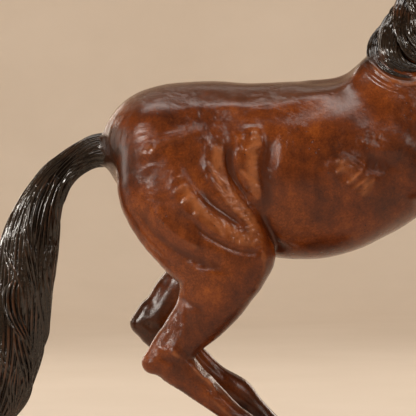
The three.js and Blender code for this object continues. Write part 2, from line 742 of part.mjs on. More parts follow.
// Thins a closed mesh by joining the two ends of an edge, always the edge that changes the form least, until
// the number of triangles is down to the target. Each point sums the squared distances to its old planes.
function thin({ points, faces }, target) {
  const count = points.length / 3;
  const at = (n) => [points[3 * n], points[3 * n + 1], points[3 * n + 2]];
  const minus = (a, b) => [a[0] - b[0], a[1] - b[1], a[2] - b[2]];
  const cross = (a, b) => [a[1] * b[2] - a[2] * b[1], a[2] * b[0] - a[0] * b[2], a[0] * b[1] - a[1] * b[0]];
  const dot = (a, b) => a[0] * b[0] + a[1] * b[1] + a[2] * b[2];
  const quadrics = Array.from({ length: count }, () => new Float64Array(10));
  const around = Array.from({ length: count }, () => new Set());
  const changes = new Uint32Array(count);
  let left = faces.length / 3;
  for (let f = 0; f < left; f++) {
    const corners = faces.slice(3 * f, 3 * f + 3);
    const [a, b, c] = corners.map(at);
    const normal = cross(minus(b, a), minus(c, a));
    const area = Math.hypot(...normal) || 1e-12;
    const [nx, ny, nz] = normal.map((q) => q / area);
    const d = -dot([nx, ny, nz], a);
    const terms = [nx * nx, nx * ny, nx * nz, nx * d, ny * ny, ny * nz, ny * d, nz * nz, nz * d, d * d];
    for (const corner of corners) {
      around[corner].add(f);
      terms.forEach((term, n) => (quadrics[corner][n] += term * area * care(...a)));
    }
  }
  const error = (q, [x, y, z]) =>
    x * x * q[0] + 2 * x * y * q[1] + 2 * x * z * q[2] + 2 * x * q[3] + y * y * q[4] +
    2 * y * z * q[5] + 2 * y * q[6] + z * z * q[7] + 2 * z * q[8] + q[9];
  const neighbours = (n) => {
    const found = new Set();
    for (const f of around[n]) for (let q = 0; q < 3; q++) found.add(faces[3 * f + q]);
    found.delete(n);
    return found;
  };
  const heap = new Heap();
  const offer = (a, b) => {
    const sum = quadrics[a].map((value, n) => value + quadrics[b][n]);
    const [pa, pb] = [at(a), at(b)];
    const span = minus(pb, pa);
    let place = pa.map((value, n) => (value + pb[n]) / 2);
    const [xx, xy, xz, xw, yy, yz, yw, zz, zw] = sum;
    const det = xx * (yy * zz - yz * yz) - xy * (xy * zz - yz * xz) + xz * (xy * yz - yy * xz);
    if (Math.abs(det) > 1e-3 * (xx + yy + zz) ** 3 * 1e-2) {
      const best = [
        -(xw * (yy * zz - yz * yz) - xy * (yw * zz - yz * zw) + xz * (yw * yz - yy * zw)) / det,
        -(xx * (yw * zz - yz * zw) - xw * (xy * zz - yz * xz) + xz * (xy * zw - yw * xz)) / det,
        -(xx * (yy * zw - yw * yz) - xy * (xy * zw - yw * xz) + xw * (xy * yz - yy * xz)) / det,
      ];
      if (Math.hypot(...minus(best, place)) < Math.hypot(...span)) place = best;
    }
    const length = dot(span, span);
    heap.push({ cost: error(sum, place) + 1e-5 * length * length, a, b, place, sum, when: changes[a] + changes[b] });
  };
  for (let n = 0; n < count; n++) for (const m of neighbours(n)) if (m > n) offer(n, m);
  const flips = (n, other, place) => {
    for (const f of around[n]) {
      const corners = [0, 1, 2].map((q) => faces[3 * f + q]);
      if (corners.includes(other)) continue;
      const [a, b, c] = corners.map(at);
      const before = cross(minus(b, a), minus(c, a));
      const [p, q, r] = corners.map((corner) => (corner === n ? place : at(corner)));
      const after = cross(minus(q, p), minus(r, p));
      if (dot(before, after) < 0.3 * Math.hypot(...before) * Math.hypot(...after)) return true;
      const longest = Math.max(dot(minus(q, p), minus(q, p)), dot(minus(r, p), minus(r, p)), dot(minus(r, q), minus(r, q)));
      if (Math.hypot(...after) < 0.08 * longest) return true;
    }
    return false;
  };
  while (left > target && heap.entries.length) {
    const { a, b, place, sum, when } = heap.pop();
    if (!around[a].size || !around[b].size || when !== changes[a] + changes[b]) continue;
    const nearA = neighbours(a);
    if (!nearA.has(b)) continue;
    const shared = [...neighbours(b)].filter((n) => nearA.has(n));
    if (shared.length !== 2 || flips(a, b, place) || flips(b, a, place)) continue;
    for (const f of around[b]) {
      const corners = [0, 1, 2].map((q) => faces[3 * f + q]);
      if (corners.includes(a)) {
        corners.forEach((corner) => around[corner].delete(f));
        left -= 1;
      } else {
        faces[3 * f + corners.indexOf(b)] = a;
        around[a].add(f);
      }
    }
    around[b].clear();
    place.forEach((value, q) => (points[3 * a + q] = value));
    quadrics[a] = sum;
    const ring = neighbours(a);
    changes[a] += 1;
    for (const n of ring) offer(Math.min(a, n), Math.max(a, n));
  }
  const kept = faces.map((_, i) => Math.floor(i / 3)).filter((f, i) => i % 3 === 0 && around[faces[3 * f]].has(f));
  return { points, faces: kept.flatMap((f) => faces.slice(3 * f, 3 * f + 3)) };
}

function toGeometry({ points, faces }, scale) {
  const geometry = new THREE.BufferGeometry();
  const order = new Map();
  const used = [];
  const index = faces.map((n) => {
    if (!order.has(n)) {
      order.set(n, order.size);
      used.push(points[3 * n] * scale, points[3 * n + 1] * scale, points[3 * n + 2] * scale);
    }
    return order.get(n);
  });
  geometry.setAttribute("position", new THREE.Float32BufferAttribute(used, 3));
  geometry.setIndex(index);
  geometry.computeVertexNormals();
  return geometry;
}

// The horse
function makeHorse() {
  const skin = largestShell(wrap(closeDiagonals(sampleFigure(SAMPLE)), SAMPLE));
  settle(skin.points, 2);
  const mesh = new THREE.Mesh(
    toGeometry(thin(skin, TRIANGLES), U),
    new THREE.MeshStandardMaterial({ color: 0x6a3012, roughness: 0.3, metalness: 0.5 }),
  );
  mesh.name = "horse";
  mesh.position.z = BASE_THICKNESS + SEAT_GAP - NEAR_SOLE * U;
  return mesh;
}

// The ground: rising from the rim to a low crown, uneven as if modelled in clay, with a rock under the far hoof.
// Both hooves stand on flat pads a little wider than their soles.
const PAD_LENGTH = 46;
const PAD_WIDTH = 36;
const PAD_SLOPE = 1.5; // how far the near pad runs out, as a share of its own size
const ROCK_SLOPE = 1.9;
const pads = [
  { hoof: NEAR_HOOF, side: -1, height: BASE_THICKNESS, slope: PAD_SLOPE },
  { hoof: FAR_HOOF, side: 1, height: BASE_THICKNESS + (FAR_SOLE - NEAR_SOLE) * U, slope: ROCK_SLOPE },
];
function ground(x, y) {
  const out = Math.hypot(x / (BASE_LENGTH / 2), y / (BASE_WIDTH / 2));
  const crown = (BASE_THICKNESS - RIM_HEIGHT) * (1 - smooth(0.15, 1, out));
  const uneven = 1.6 * Math.sin(0.093 * x + 1.3) * Math.cos(0.118 * y - 0.4) + 0.9 * Math.sin(0.21 * x - 0.17 * y);
  let height = RIM_HEIGHT + crown * 0.9 + uneven * (1 - smooth(0.8, 1, out));
  height = Math.min(height, BASE_THICKNESS - 0.5);
  for (const pad of [...pads].reverse()) {
    const dx = (x - pad.hoof.x * U) / (PAD_LENGTH / 2);
    const dy = (y - pad.side * pad.hoof.y * U) / (PAD_WIDTH / 2);
    const away = Math.hypot(dx, dy);
    height += (pad.height - height) * (1 - smooth(1, pad.slope, away));
  }
  return height;
}

// The base: a grid drawn out to an oval for its top, then the bevel, the edge and the flat underside.
const GRID_LENGTH = 24;
const GRID_WIDTH = 14;
function makeBase() {
  const points = [];
  const faces = [];
  const addRing = (ring, inset, height) => ring.map(([u, v]) => {
    const [x, y] = oval(u, v, BASE_LENGTH / 2 - inset, BASE_WIDTH / 2 - inset);
    return points.push(x, y, height ?? ground(x, y)) / 3 - 1;
  });
  const grid = [];
  for (let i = 0; i <= GRID_LENGTH; i++) {
    const row = Array.from({ length: GRID_WIDTH + 1 }, (_, k) => [(2 * i) / GRID_LENGTH - 1, (2 * k) / GRID_WIDTH - 1]);
    grid.push(addRing(row, RIM_BEVEL));
  }
  for (let i = 0; i < GRID_LENGTH; i++) {
    for (let k = 0; k < GRID_WIDTH; k++) {
      const [a, b, c, d] = [grid[i][k], grid[i + 1][k], grid[i + 1][k + 1], grid[i][k + 1]];
      if (i < GRID_LENGTH / 2 === k < GRID_WIDTH / 2) faces.push(a, b, d, b, c, d);
      else faces.push(a, b, c, a, c, d);
    }
  }
  const edge = [];
  for (let i = 0; i < GRID_LENGTH; i++) edge.push([i, 0]);
  for (let k = 0; k < GRID_WIDTH; k++) edge.push([GRID_LENGTH, k]);
  for (let i = GRID_LENGTH; i > 0; i--) edge.push([i, GRID_WIDTH]);
  for (let k = GRID_WIDTH; k > 0; k--) edge.push([0, k]);
  const round = edge.map(([i, k]) => [(2 * i) / GRID_LENGTH - 1, (2 * k) / GRID_WIDTH - 1]);
  const rings = [
    edge.map(([i, k]) => grid[i][k]),
    addRing(round, 0, RIM_HEIGHT - RIM_BEVEL),
    addRing(round, 0, 0),
  ];
  for (let n = 1; n < rings.length; n++) {
    round.forEach((_, a) => {
      const b = (a + 1) % round.length;
      const [upper, lower] = [rings[n - 1], rings[n]];
      faces.push(upper[a], lower[a], lower[b], upper[a], lower[b], upper[b]);
    });
  }
  const centre = points.push(0, 0, 0) / 3 - 1;
  rings[2].forEach((a, n) => faces.push(a, centre, rings[2][(n + 1) % round.length]));
  const mesh = new THREE.Mesh(
    toGeometry({ points, faces }, 1),
    new THREE.MeshStandardMaterial({ color: 0x33241a, roughness: 0.5, metalness: 0.5 }),
  );
  mesh.name = "base";
  return mesh;
}

// Maps the square from -1 to 1 onto an oval with half sizes a and b.
function oval(u, v, a, b) {
  return [a * u * Math.sqrt(1 - (v * v) / 2), b * v * Math.sqrt(1 - (u * u) / 2)];
}

const model = new THREE.Group();
model.add(makeHorse(), makeBase());
export default model;
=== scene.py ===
import math
from concurrent.futures import ThreadPoolExecutor

import bpy
import numpy as np
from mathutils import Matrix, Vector


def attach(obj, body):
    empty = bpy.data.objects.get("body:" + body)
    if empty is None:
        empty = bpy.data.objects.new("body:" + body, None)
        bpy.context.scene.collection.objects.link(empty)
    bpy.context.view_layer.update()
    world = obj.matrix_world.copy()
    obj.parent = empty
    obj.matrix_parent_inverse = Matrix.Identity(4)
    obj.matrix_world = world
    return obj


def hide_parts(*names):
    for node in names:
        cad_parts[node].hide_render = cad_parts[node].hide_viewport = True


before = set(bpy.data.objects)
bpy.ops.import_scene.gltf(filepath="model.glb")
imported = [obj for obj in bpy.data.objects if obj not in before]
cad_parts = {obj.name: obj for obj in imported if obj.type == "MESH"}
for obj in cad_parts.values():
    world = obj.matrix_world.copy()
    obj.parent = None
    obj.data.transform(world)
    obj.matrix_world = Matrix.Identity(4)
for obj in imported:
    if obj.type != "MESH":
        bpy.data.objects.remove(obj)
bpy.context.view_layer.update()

# Shared sizes, in metres
FIGURE_HEIGHT = 0.480
BASE_LENGTH = 0.250
BASE_WIDTH = 0.136
BASE_THICKNESS = 0.025
RIM_HEIGHT = 0.013
SEAT_GAP = 0.0003

# The figure is drawn in units of its own: 601 from the near sole to the tips of the ears
FIGURE_UNITS = 601
NEAR_SOLE = 33
FAR_SOLE = 62
U = FIGURE_HEIGHT / FIGURE_UNITS
LIFT = BASE_THICKNESS + SEAT_GAP - NEAR_SOLE * U

OUTSIDE = 1e3  # the field far from every limb
REACH = 30  # how far round a limb it still matters to its neighbours
SUBSTEPS = 6  # pieces of a smooth line between two stations of a limb
STROKE_SUBSTEPS = 12
HAIR_SUBSTEPS = 40
THREADS = 4
CHUNK = 32768  # points that a thread takes at a time

# Places on the head: s along it from the poll to the muzzle, n towards the forehead
POLL = (183, 600)
HEAD_TILT = -0.93


def on_head(*stations):
    """Stations whose first two numbers are s and n."""
    c, d = math.cos(HEAD_TILT), math.sin(HEAD_TILT)
    return [(POLL[0] + s * c - n * d, POLL[1] + s * d + n * c, *rest) for s, n, *rest in stations]


# Stations of the limbs: x, z, y, half depth seen from the side, half width
STATIONS = {
    "trunk": [
        (-158, 381, 0, 35, 34), (-130, 373, 0, 61, 53), (-90, 363, 0, 76, 61), (-50, 357, 0, 80, 60),
        (-10, 350, 0, 88, 64), (24, 350, 0, 87, 67), (54, 357, 0, 81, 66), (84, 367, 0, 74, 60),
        (114, 380, 0, 64, 52), (140, 390, 0, 48, 42),
    ],
    "withers": [(20, 420, 0, 18, 16), (57, 424, 0, 20, 15), (92, 436, 0, 22, 17)],
    "breast": [(150, 376, 18, 26, 20), (166, 386, 17, 22, 16)],
    "near_hind": [
        (-128, 372, 24, 48, 32), (-113, 330, 30, 63, 36), (-91, 292, 34, 57, 37),
        (-77, 261, 37, 46, 33), (-80, 234, 38, 36, 26), (-94, 208, 37, 28, 19),
        (-112, 186, 35, 22.5, 15), (-124, 165, 34, 20.5, 14), (-102, 143, 33, 16.5, 12),
        (-80, 124, 32, 13, 10.5), (-57, 104, 32, 11, 9.5), (-35, 84, 32, 14, 12),
        (-19, 68, 32, 11, 10.5), (-9, 57, 32, 12.5, 12.5),
    ],
    "near_stifle": [(-58, 292, 38, 26, 24), (-46, 266, 40, 24, 21), (-53, 246, 40, 20, 18)],
    "near_hock_point": [(-128, 182, 34, 10, 9), (-142, 160, 34, 11, 10)],
    "far_hind": [
        (-128, 372, 24, 48, 32), (-112, 332, 30, 63, 36), (-88, 298, 34, 58, 36),
        (-76, 270, 37, 46, 32), (-90, 246, 38, 36, 26), (-112, 227, 37, 29, 19),
        (-130, 209, 35, 22.5, 15), (-141, 193, 34, 20, 14), (-120, 174, 33, 16.5, 12),
        (-98, 157, 32, 13, 10.5), (-79, 142, 32, 11, 9.5), (-58, 126, 32, 14.5, 12),
        (-42, 112, 32, 10.5, 10.5), (-28, 96, 32, 11, 11.5), (-19, 86, 32, 12.5, 12.5),
    ],
    "far_hock_point": [(-148, 208, 34, 10, 9), (-157, 195, 34, 10, 10)],
    "shoulder": [(84, 440, 24, 24, 14), (112, 407, 32, 38, 20), (146, 380, 36, 34, 20)],
    "knee": [(229, 340, 42, 7, 6), (228, 329, 42, 6, 5)],
    "fetlock": [(222, 277, 42, 6, 6), (220, 268, 42, 7, 7)],
    "triceps": [(88, 374, 34, 30, 20), (114, 360, 40, 33, 22), (136, 342, 43, 25, 19)],
    "near_fore": [
        (134, 344, 43, 27, 19), (165, 334, 44, 24, 18), (200, 336, 43, 17.5, 14),
        (226, 342, 42, 14, 12), (243, 344, 42, 15.5, 14), (243, 323, 42, 12, 10),
        (236, 297, 42, 10, 8.5), (228, 273, 42, 13, 11.5), (214, 257, 42, 10.5, 10),
        (205, 249, 42, 12, 12.5),
    ],
    "far_fore": [
        (134, 346, 43, 27, 19), (166, 354, 44, 24, 18), (200, 370, 43, 17.5, 14),
        (222, 383, 42, 14, 12), (238, 390, 42, 15.5, 14), (243, 369, 42, 12, 10),
        (243, 343, 42, 10, 8.5), (240, 318, 42, 13, 11.5), (228, 300, 42, 10.5, 10),
        (220, 292, 42, 12, 12.5),
    ],
    "neck": [
        (104, 404, 0, 64, 44), (131, 448, 0, 56, 37), (150, 492, 0, 48, 29), (165, 532, 0, 42, 25),
        (180, 568, 0, 35, 22),
    ],
    "skull": on_head(
        (15, 0, 0, 27, 18), (38, -1, 0, 30, 22), (64, 1, 0, 24, 19), (90, 4, 0, 18.5, 14),
        (112, 4, 0, 17, 13), (128, 2, 0, 15.5, 13.5),
    ),
    "jowl": on_head((40, -14, 12, 23, 10), (58, -13, 12, 20, 9)),
    "jaw": on_head(
        (66, -19, 0, 12, 13), (94, -14, 0, 8, 10), (116, -13, 0, 8, 9.5), (127, -12, 0, 9, 10),
    ),
    "brow": on_head((27, 17, 15, 5, 5), (38, 19, 19, 5.5, 5), (50, 15, 17, 4, 4)),
    "eye": on_head((40, 9, 17.5, 6.5, 5.5), (44, 9, 17, 6.5, 5.5)),
    "cheek_ridge": on_head((50, -2, 17, 5, 4), (68, -1, 15, 5, 4), (92, 1, 10, 4, 4)),
    "nostril": on_head((118, 10, 9, 6, 5), (127, 6, 11, 7, 5.5)),
    "ear": [(176, 602, 12, 9, 7), (179, 617, 15, 9, 5.5), (185, 632, 14, 2.6, 2.2)],
    "dock": [(-174, 367, 0, 18, 15), (-192, 369.5, 0, 15.5, 12.5), (-207, 367, 0, 11, 9)],
}

TAIL = [
    (-180, 370, 0, 21, 15), (-201, 368.5, 0, 18, 14), (-222, 358, 0, 17, 16), (-239, 343, 0, 19, 18),
    (-250, 325, 0, 22, 21), (-258, 306, 0, 26, 24), (-265, 276, 0, 31, 27), (-272, 230, 0, 32, 28),
    (-281, 172, 0, 32, 27), (-294, 128, 0, 28, 23), (-312, 92, 0, 19, 16), (-328, 64, 0, 6, 6),
]

CREST = [
    (90, 462, 0, 8, 10), (107, 498, 0, 9, 10), (124, 537, 0, 9, 10), (143, 574, 0, 9, 10),
    (166, 603, 0, 8, 9),
]

FOREMOST_RIGHT_LOCK = [
    (116, 519, 8, 11, 8), (106, 502, 17, 12, 9), (95, 482, 26, 14, 9), (93, 464, 33, 13, 9),
    (102, 451, 37, 10.5, 8), (118, 446, 39, 7, 6), (138, 447, 39, 2.5, 3),
]

FLYING_LOCK = [
    (138, 548, 5, 10, 8), (124, 534, 11, 10, 8), (108, 529, 15, 9, 7), (93, 533, 17, 7, 6),
    (78, 541, 17, 4.5, 5), (63, 547, 15, 1.5, 2),
]

FORELOCK = [
    (176, 608, 0, 6, 10), (194, 608, -1, 6, 11), (212, 596, -3, 5, 9), (226, 576, -7, 3, 5),
    (233, 560, -9, 1.5, 2),
]

# Strokes on the side view: width, height, line, and a share by which some are narrower to its right
BODY_CARVING = [
    # the line of the hip and the loin
    (9, 2.0, [
        (-123, 404), (-104, 411), (-87, 410), (-63, 413), (-38, 411), (-7, 416), (24, 427), (66, 440),
    ]),
    (10, -1.3, [(-137, 386), (-121, 391.5), (-99, 395), (-75, 396.5), (-40, 400), (0, 404), (44, 414)]),
    (8, 2.3, [(-156, 362), (-138, 372), (-121, 379.5), (-104, 385.5), (-88, 391)], 0.2),
    (8, 1.5, [(-157, 362), (-148, 367), (-140, 370)]),
    # two crescent folds above the stifle, steep towards the shoulder, each with a hollow behind it
    (8.5, 5.6, [
        (-120, 352), (-112, 333), (-105, 322), (-96, 312), (-84, 302), (-68, 292), (-52, 283), (-38, 277),
    ], -0.3),
    (4, -2.2, [(-106, 306), (-93, 290), (-76, 279), (-58, 272), (-42, 270), (-35, 277)]),
    (6, -2.2, [(-96, 330), (-88, 319), (-76, 309), (-62, 300), (-50, 291)]),
    (8.5, 6.4, [
        (-74, 382), (-78, 366), (-77, 350), (-72, 337), (-63, 324), (-52, 310), (-42, 294), (-37, 280),
    ], -0.3),
    (6, -3.6, [(-66, 374), (-68, 357), (-63, 342), (-54, 329), (-45, 318)]),
    # the point of the hip and the folds that hang from it
    (10, 5.8, [(-44, 394), (-44, 378), (-46, 362), (-46, 346), (-43, 331), (-38, 316)], -0.3),
    (4, 1.6, [(-42, 390), (-39, 381), (-35, 369)]),
    (8, -2.6, [(-28, 384), (-30, 358), (-31, 332), (-32, 306)]),
    (5, -2.2, [(-34, 304), (-29, 291), (-21, 279), (-12, 270)]),
    # the back of the thigh
    (6.5, -2.8, [
        (-158, 316), (-147, 299), (-135, 285), (-121, 274), (-106, 265), (-87, 257), (-72, 252),
    ], 0.2),
    (8, 2.4, [(-146, 312), (-135, 297), (-123, 286), (-109, 277), (-91, 269)]),
    (4.2, -1.3, [(-169, 309), (-156, 287), (-144, 273), (-128, 260), (-111, 251)]),
    # ribs, elbow and shoulder
    (12.5, 5.0, [(34, 364), (46, 349), (58, 338), (74, 328)]),
    (6.5, -3.8, [(66, 357), (75, 354), (84, 356)]),
    (10, -1.6, [(66, 362), (80, 356), (100, 352)]),
    (15, 3.0, [(46, 386), (71, 378), (94, 378), (122, 396)]),
    (10, 2.0, [(96, 430), (118, 408), (140, 386), (158, 368)]),
    (9, -1.8, [(92, 408), (104, 388), (122, 372), (142, 358)]),
    (10, -1.6, [(122, 428), (146, 408), (166, 392)]),
    # the skin folds under the mane, and the neck
    (3.4, 2.6, [(70, 458), (78, 447), (90, 438), (106, 433), (124, 434)], 0.3),
    (3.0, -1.8, [(75, 460), (86, 448), (98, 442), (114, 440)]),
    (3.0, 1.9, [(68, 448), (78, 438), (92, 430), (110, 426)], 0.3),
    (6, -2.6, [(190, 532), (178, 505), (168, 470), (160, 436), (156, 412)]),
    (8, 2.2, [(202, 524), (192, 500), (182, 468), (174, 440), (168, 414)]),
    (8, 2, [(160, 520), (146, 486), (132, 456), (120, 428)]),
]

HIND_LEG_CARVING = [
    (4, -1.6, [(-135, 169), (-128, 163), (-123, 167)]),
    (3, 2.2, [(-90, 147), (-86, 143), (-83, 138)]),
    (2.2, -1.3, [(-93, 143), (-88, 137), (-84, 131)]),
    (5.5, -1.3, [(-117, 226), (-117, 205), (-124, 188), (-134, 174)]),
    (4.5, -1.6, [(-117, 226), (-104, 219), (-92, 213)]),
    (5, 1.8, [(-125, 172), (-118, 168), (-106, 160)]),
    (3.2, 1.8, [(-106, 160), (-97, 150), (-88, 141), (-76, 129)]),
    (3.4, -1.8, [(-100, 163), (-91, 151), (-80, 138), (-64, 122), (-50, 107)]),
    (3, 1.4, [(-90, 130), (-74, 115), (-60, 102), (-46, 90)]),
    (4, 1.8, [(-35, 272), (-33, 261), (-36, 244), (-43, 229)]),
]

FACE_CARVING = [
    (3, -3.4, on_head((140, -8), (126, -7), (108, -3))),
    (3, -4.5, on_head((130, 6), (125, 8), (119, 5))),
    (3, -2.6, on_head((31, 4), (42, 1), (54, 6))),
    (2.5, -2, on_head((34, 15), (43, 16), (52, 11))),
    (5, -2.6, on_head((12, -8), (22, -30), (42, -40), (62, -37))),
    (5, -2, on_head((64, 9), (82, 10), (104, 9))),
    (3.4, -4, [(187, 606), (189, 617), (188, 629)]),
]


# Curves and noise
def smooth(low, high, value):
    t = np.clip((value - low) / (high - low), 0, 1)
    return t * t * (3 - 2 * t)


def blend(a, b, k):
    h = np.maximum(k - np.abs(a - b), 0) / k
    return np.minimum(a, b) - h * h * h * (k / 6)


def spline(points, per_span, centripetal):
    """Catmull-Rom curve through the points, per_span pieces between each two."""
    points = np.asarray(points, float)
    points = np.vstack([2 * points[0] - points[1], points, 2 * points[-1] - points[-2]])
    t = (np.arange(per_span) / per_span)[:, None]
    out = []
    for a, b, c, d in zip(points, points[1:], points[2:], points[3:]):
        if centripetal:
            d0, d1, d2 = [max(1e-4, np.linalg.norm(q - p)) ** 0.5 for p, q in ((a, b), (b, c), (c, d))]
            m1 = ((b - a) / d0 - (c - a) / (d0 + d1) + (c - b) / d1) * d1
            m2 = ((c - b) / d1 - (d - b) / (d1 + d2) + (d - c) / d2) * d1
        else:
            m1, m2 = 0.5 * (c - a), 0.5 * (d - b)
        out.append(b + m1 * t + (3 * (c - b) - 2 * m1 - m2) * t**2 + (2 * (b - c) + m1 + m2) * t**3)
    return np.vstack([*out, points[-2]])


LATTICE = np.random.default_rng(11).random((32, 32, 32), dtype=np.float32) * 2 - 1


def noise(x, y, z):
    """Smooth noise between -1 and 1 that changes over about one unit."""
    cells = [np.floor(q).astype(np.int32) for q in (x, y, z)]
    u, v, w = [(f := q - c) * f * (3 - 2 * f) for q, c in zip((x, y, z), cells)]
    i, j, k = [c & 31 for c in cells]
    i1, j1, k1 = (i + 1) & 31, (j + 1) & 31, (k + 1) & 31
    low = LATTICE[i, j, k] * (1 - u) + LATTICE[i1, j, k] * u
    high = LATTICE[i, j1, k] * (1 - u) + LATTICE[i1, j1, k] * u
    near = low * (1 - v) + high * v
    low = LATTICE[i, j, k1] * (1 - u) + LATTICE[i1, j, k1] * u
    high = LATTICE[i, j1, k1] * (1 - u) + LATTICE[i1, j1, k1] * u
    return near * (1 - w) + (low * (1 - v) + high * v) * w


# The body as one field: below 0 inside, above 0 outside
class Limb:
    def __init__(self, stations, side=1):
        rows = np.array(stations, float)
        self.points = spline(rows[:, [0, 2, 1]] * [1, side, 1], SUBSTEPS, True)
        self.radii = spline(rows[:, 3:5], SUBSTEPS, False)
        room = self.radii.max(axis=1)[:, None] + REACH
        self.low = (self.points - room).min(axis=0)
        self.high = (self.points + room).max(axis=0)

    def __call__(self, x, y, z):
        out = np.full(x.shape, OUTSIDE, np.float32)
        near = (x > self.low[0]) & (x < self.high[0]) & (y > self.low[1]) & (y < self.high[1])
        near = np.flatnonzero(near & (z > self.low[2]) & (z < self.high[2]))
        if not near.size:
            return out
        x, y, z = x[near], y[near], z[near]
        best = np.full(x.shape, OUTSIDE, np.float32)
        for a, b, (r0, w0), (r1, w1) in zip(self.points, self.points[1:], self.radii, self.radii[1:]):
            e = (b - a).astype(np.float32)
            a = a.astype(np.float32)
            dx, dy, dz = x - a[0], y - a[1], z - a[2]
            t = np.clip((dx * e[0] + dy * e[1] + dz * e[2]) * np.float32(1 / (e @ e)), 0, 1)
            dx -= t * e[0]
            dy -= t * e[1]
            dz -= t * e[2]
            r2 = np.float32(r0) + t * np.float32(r1 - r0)
            w2 = np.float32(w0) + t * np.float32(w1 - w0)
            r2 *= r2
            w2 *= w2
            u = (dx * dx + dz * dz) / r2
            v = dy * dy / w2
            ratio = np.sqrt(u + v)
            slope = np.sqrt(u / r2 + v / w2) + np.float32(1e-9)
            np.minimum(best, ratio * (ratio - 1) / slope, out=best)
        out[near] = best
        return out


class Hoof:
    """Grows wider down to a flat sole. Its toe looks along +X, turned up by pitch."""

    def __init__(self, x, z, y, pitch, side=1):
        self.x, self.y, self.z = x, side * y, z
        self.c, self.s = math.cos(pitch), math.sin(pitch)
        self.horn = Limb([(-1, 20, 0, 11.5, 11.5), (2, 8, 0, 14, 13), (7, -10, 0, 18, 16.5)])

    def __call__(self, x, y, z):
        up = (z - self.z) * self.c - (x - self.x) * self.s
        ahead = (x - self.x) * self.c + (z - self.z) * self.s
        return np.maximum(self.horn(ahead, y - self.y, up), -up)


class Carving:
    """Strokes on the side view, on a grid: none within inner of the middle plane, full beyond outer."""

    CELL = 0.5
    MARGIN = 20

    def __init__(self, strokes, inner, outer, shift=(0, 0)):
        self.inner, self.outer = inner, outer
        lines = [np.array([p[:2] for p in stroke[2]], float) + shift for stroke in strokes]
        everything = np.vstack(lines)
        self.low = everything.min(axis=0) - self.MARGIN
        self.count = np.ceil((everything.max(axis=0) + self.MARGIN - self.low) / self.CELL).astype(int)
        self.heights = np.zeros(self.count, np.float32)
        for (width, height, _, *lean), line in zip(strokes, lines):
            dots = spline(line, STROKE_SUBSTEPS, True)
            room = 3 * width
            first = np.floor((dots.min(axis=0) - room - self.low) / self.CELL).astype(int).clip(0)
            last = np.ceil((dots.max(axis=0) + room - self.low) / self.CELL).astype(int)
            last = np.minimum(last, self.count)
            i, k = np.meshgrid(np.arange(first[0], last[0]), np.arange(first[1], last[1]), indexing="ij")
            cells = self.low + np.stack([i, k], -1) * self.CELL
            distance = np.hypot(cells[..., :1] - dots[:, 0], cells[..., 1:] - dots[:, 1])
            nearest, n = distance.min(axis=-1), distance.argmin(axis=-1)
            ahead = np.gradient(dots, axis=0)
            ahead /= np.linalg.norm(ahead, axis=1, keepdims=True)
            away = cells - dots[n]
            right = away[..., 0] * ahead[n, 1] - away[..., 1] * ahead[n, 0]
            place = n / (len(dots) - 1)
            fade = smooth(-0.08, 0.22, place) * smooth(-0.08, 0.16, 1 - place)
            wide = width * (1 + (lean[0] if lean else 0) * -np.tanh(right / width * 2))
            self.heights[i, k] += height * fade * np.exp(-((nearest / wide) ** 2))

    def __call__(self, x, y, z):
        u, v = (x - self.low[0]) / self.CELL, (z - self.low[1]) / self.CELL
        i = np.floor(u).astype(np.int32).clip(0, self.count[0] - 2)
        k = np.floor(v).astype(np.int32).clip(0, self.count[1] - 2)
        u, v = (u - i).clip(0, 1), (v - k).clip(0, 1)
        h = self.heights
        low = h[i, k] * (1 - u) + h[i + 1, k] * u
        high = h[i, k + 1] * (1 - u) + h[i + 1, k + 1] * u
        inside = (u > 0) & (u < 1) & (v > 0) & (v < 1)
        return np.where(inside, (low * (1 - v) + high * v) * smooth(self.inner, self.outer, np.abs(y)), 0)


NEAR_HOOF = (-4, 32)
FAR_HOOF = (-14, 32)
FAR_HOCK_SHIFT = (-17, 28)
FAR_KNEE_SHIFT = (-5, 46)
FAR_FETLOCK_SHIFT = (10, 44)
limbs = {name: Limb(rows, -1 if name.startswith("near_") else 1) for name, rows in STATIONS.items()}
hooves = {
    "near_hind": Hoof(NEAR_HOOF[0], NEAR_SOLE, NEAR_HOOF[1], 0, -1),
    "far_hind": Hoof(FAR_HOOF[0], FAR_SOLE, FAR_HOOF[1], 0),
    "near_fore": Hoof(190, 236, 42, -0.75, -1),
    "far_fore": Hoof(204, 280, 42, -0.7),
}
carved_body = Carving(BODY_CARVING, 10, 26)
carved_face = Carving(FACE_CARVING, 3, 9)
carved_near_hind = Carving(HIND_LEG_CARVING, 14, 26)
carved_far_hind = Carving(HIND_LEG_CARVING, 14, 26, shift=FAR_HOCK_SHIFT)


# What is blended into the trunk and into the skull, in order, with the width of each blend
BODY_BLENDS = [
    ("withers", 14), ("neck", 24), ("breast", 16), ("shoulder", 26), ("triceps", 22), ("dock", 9),
]
HEAD_BLENDS = [("jowl", 7), ("jaw", 5), ("cheek_ridge", 4), ("brow", 4), ("nostril", 3), ("ear", 4)]


def blended(first, others, x, half, z):
    """A limb with others blended into it, alike on both sides."""
    out = limbs[first](x, half, z)
    for name, width in others:
        out = blend(out, limbs[name](x, half, z), width)
    return out


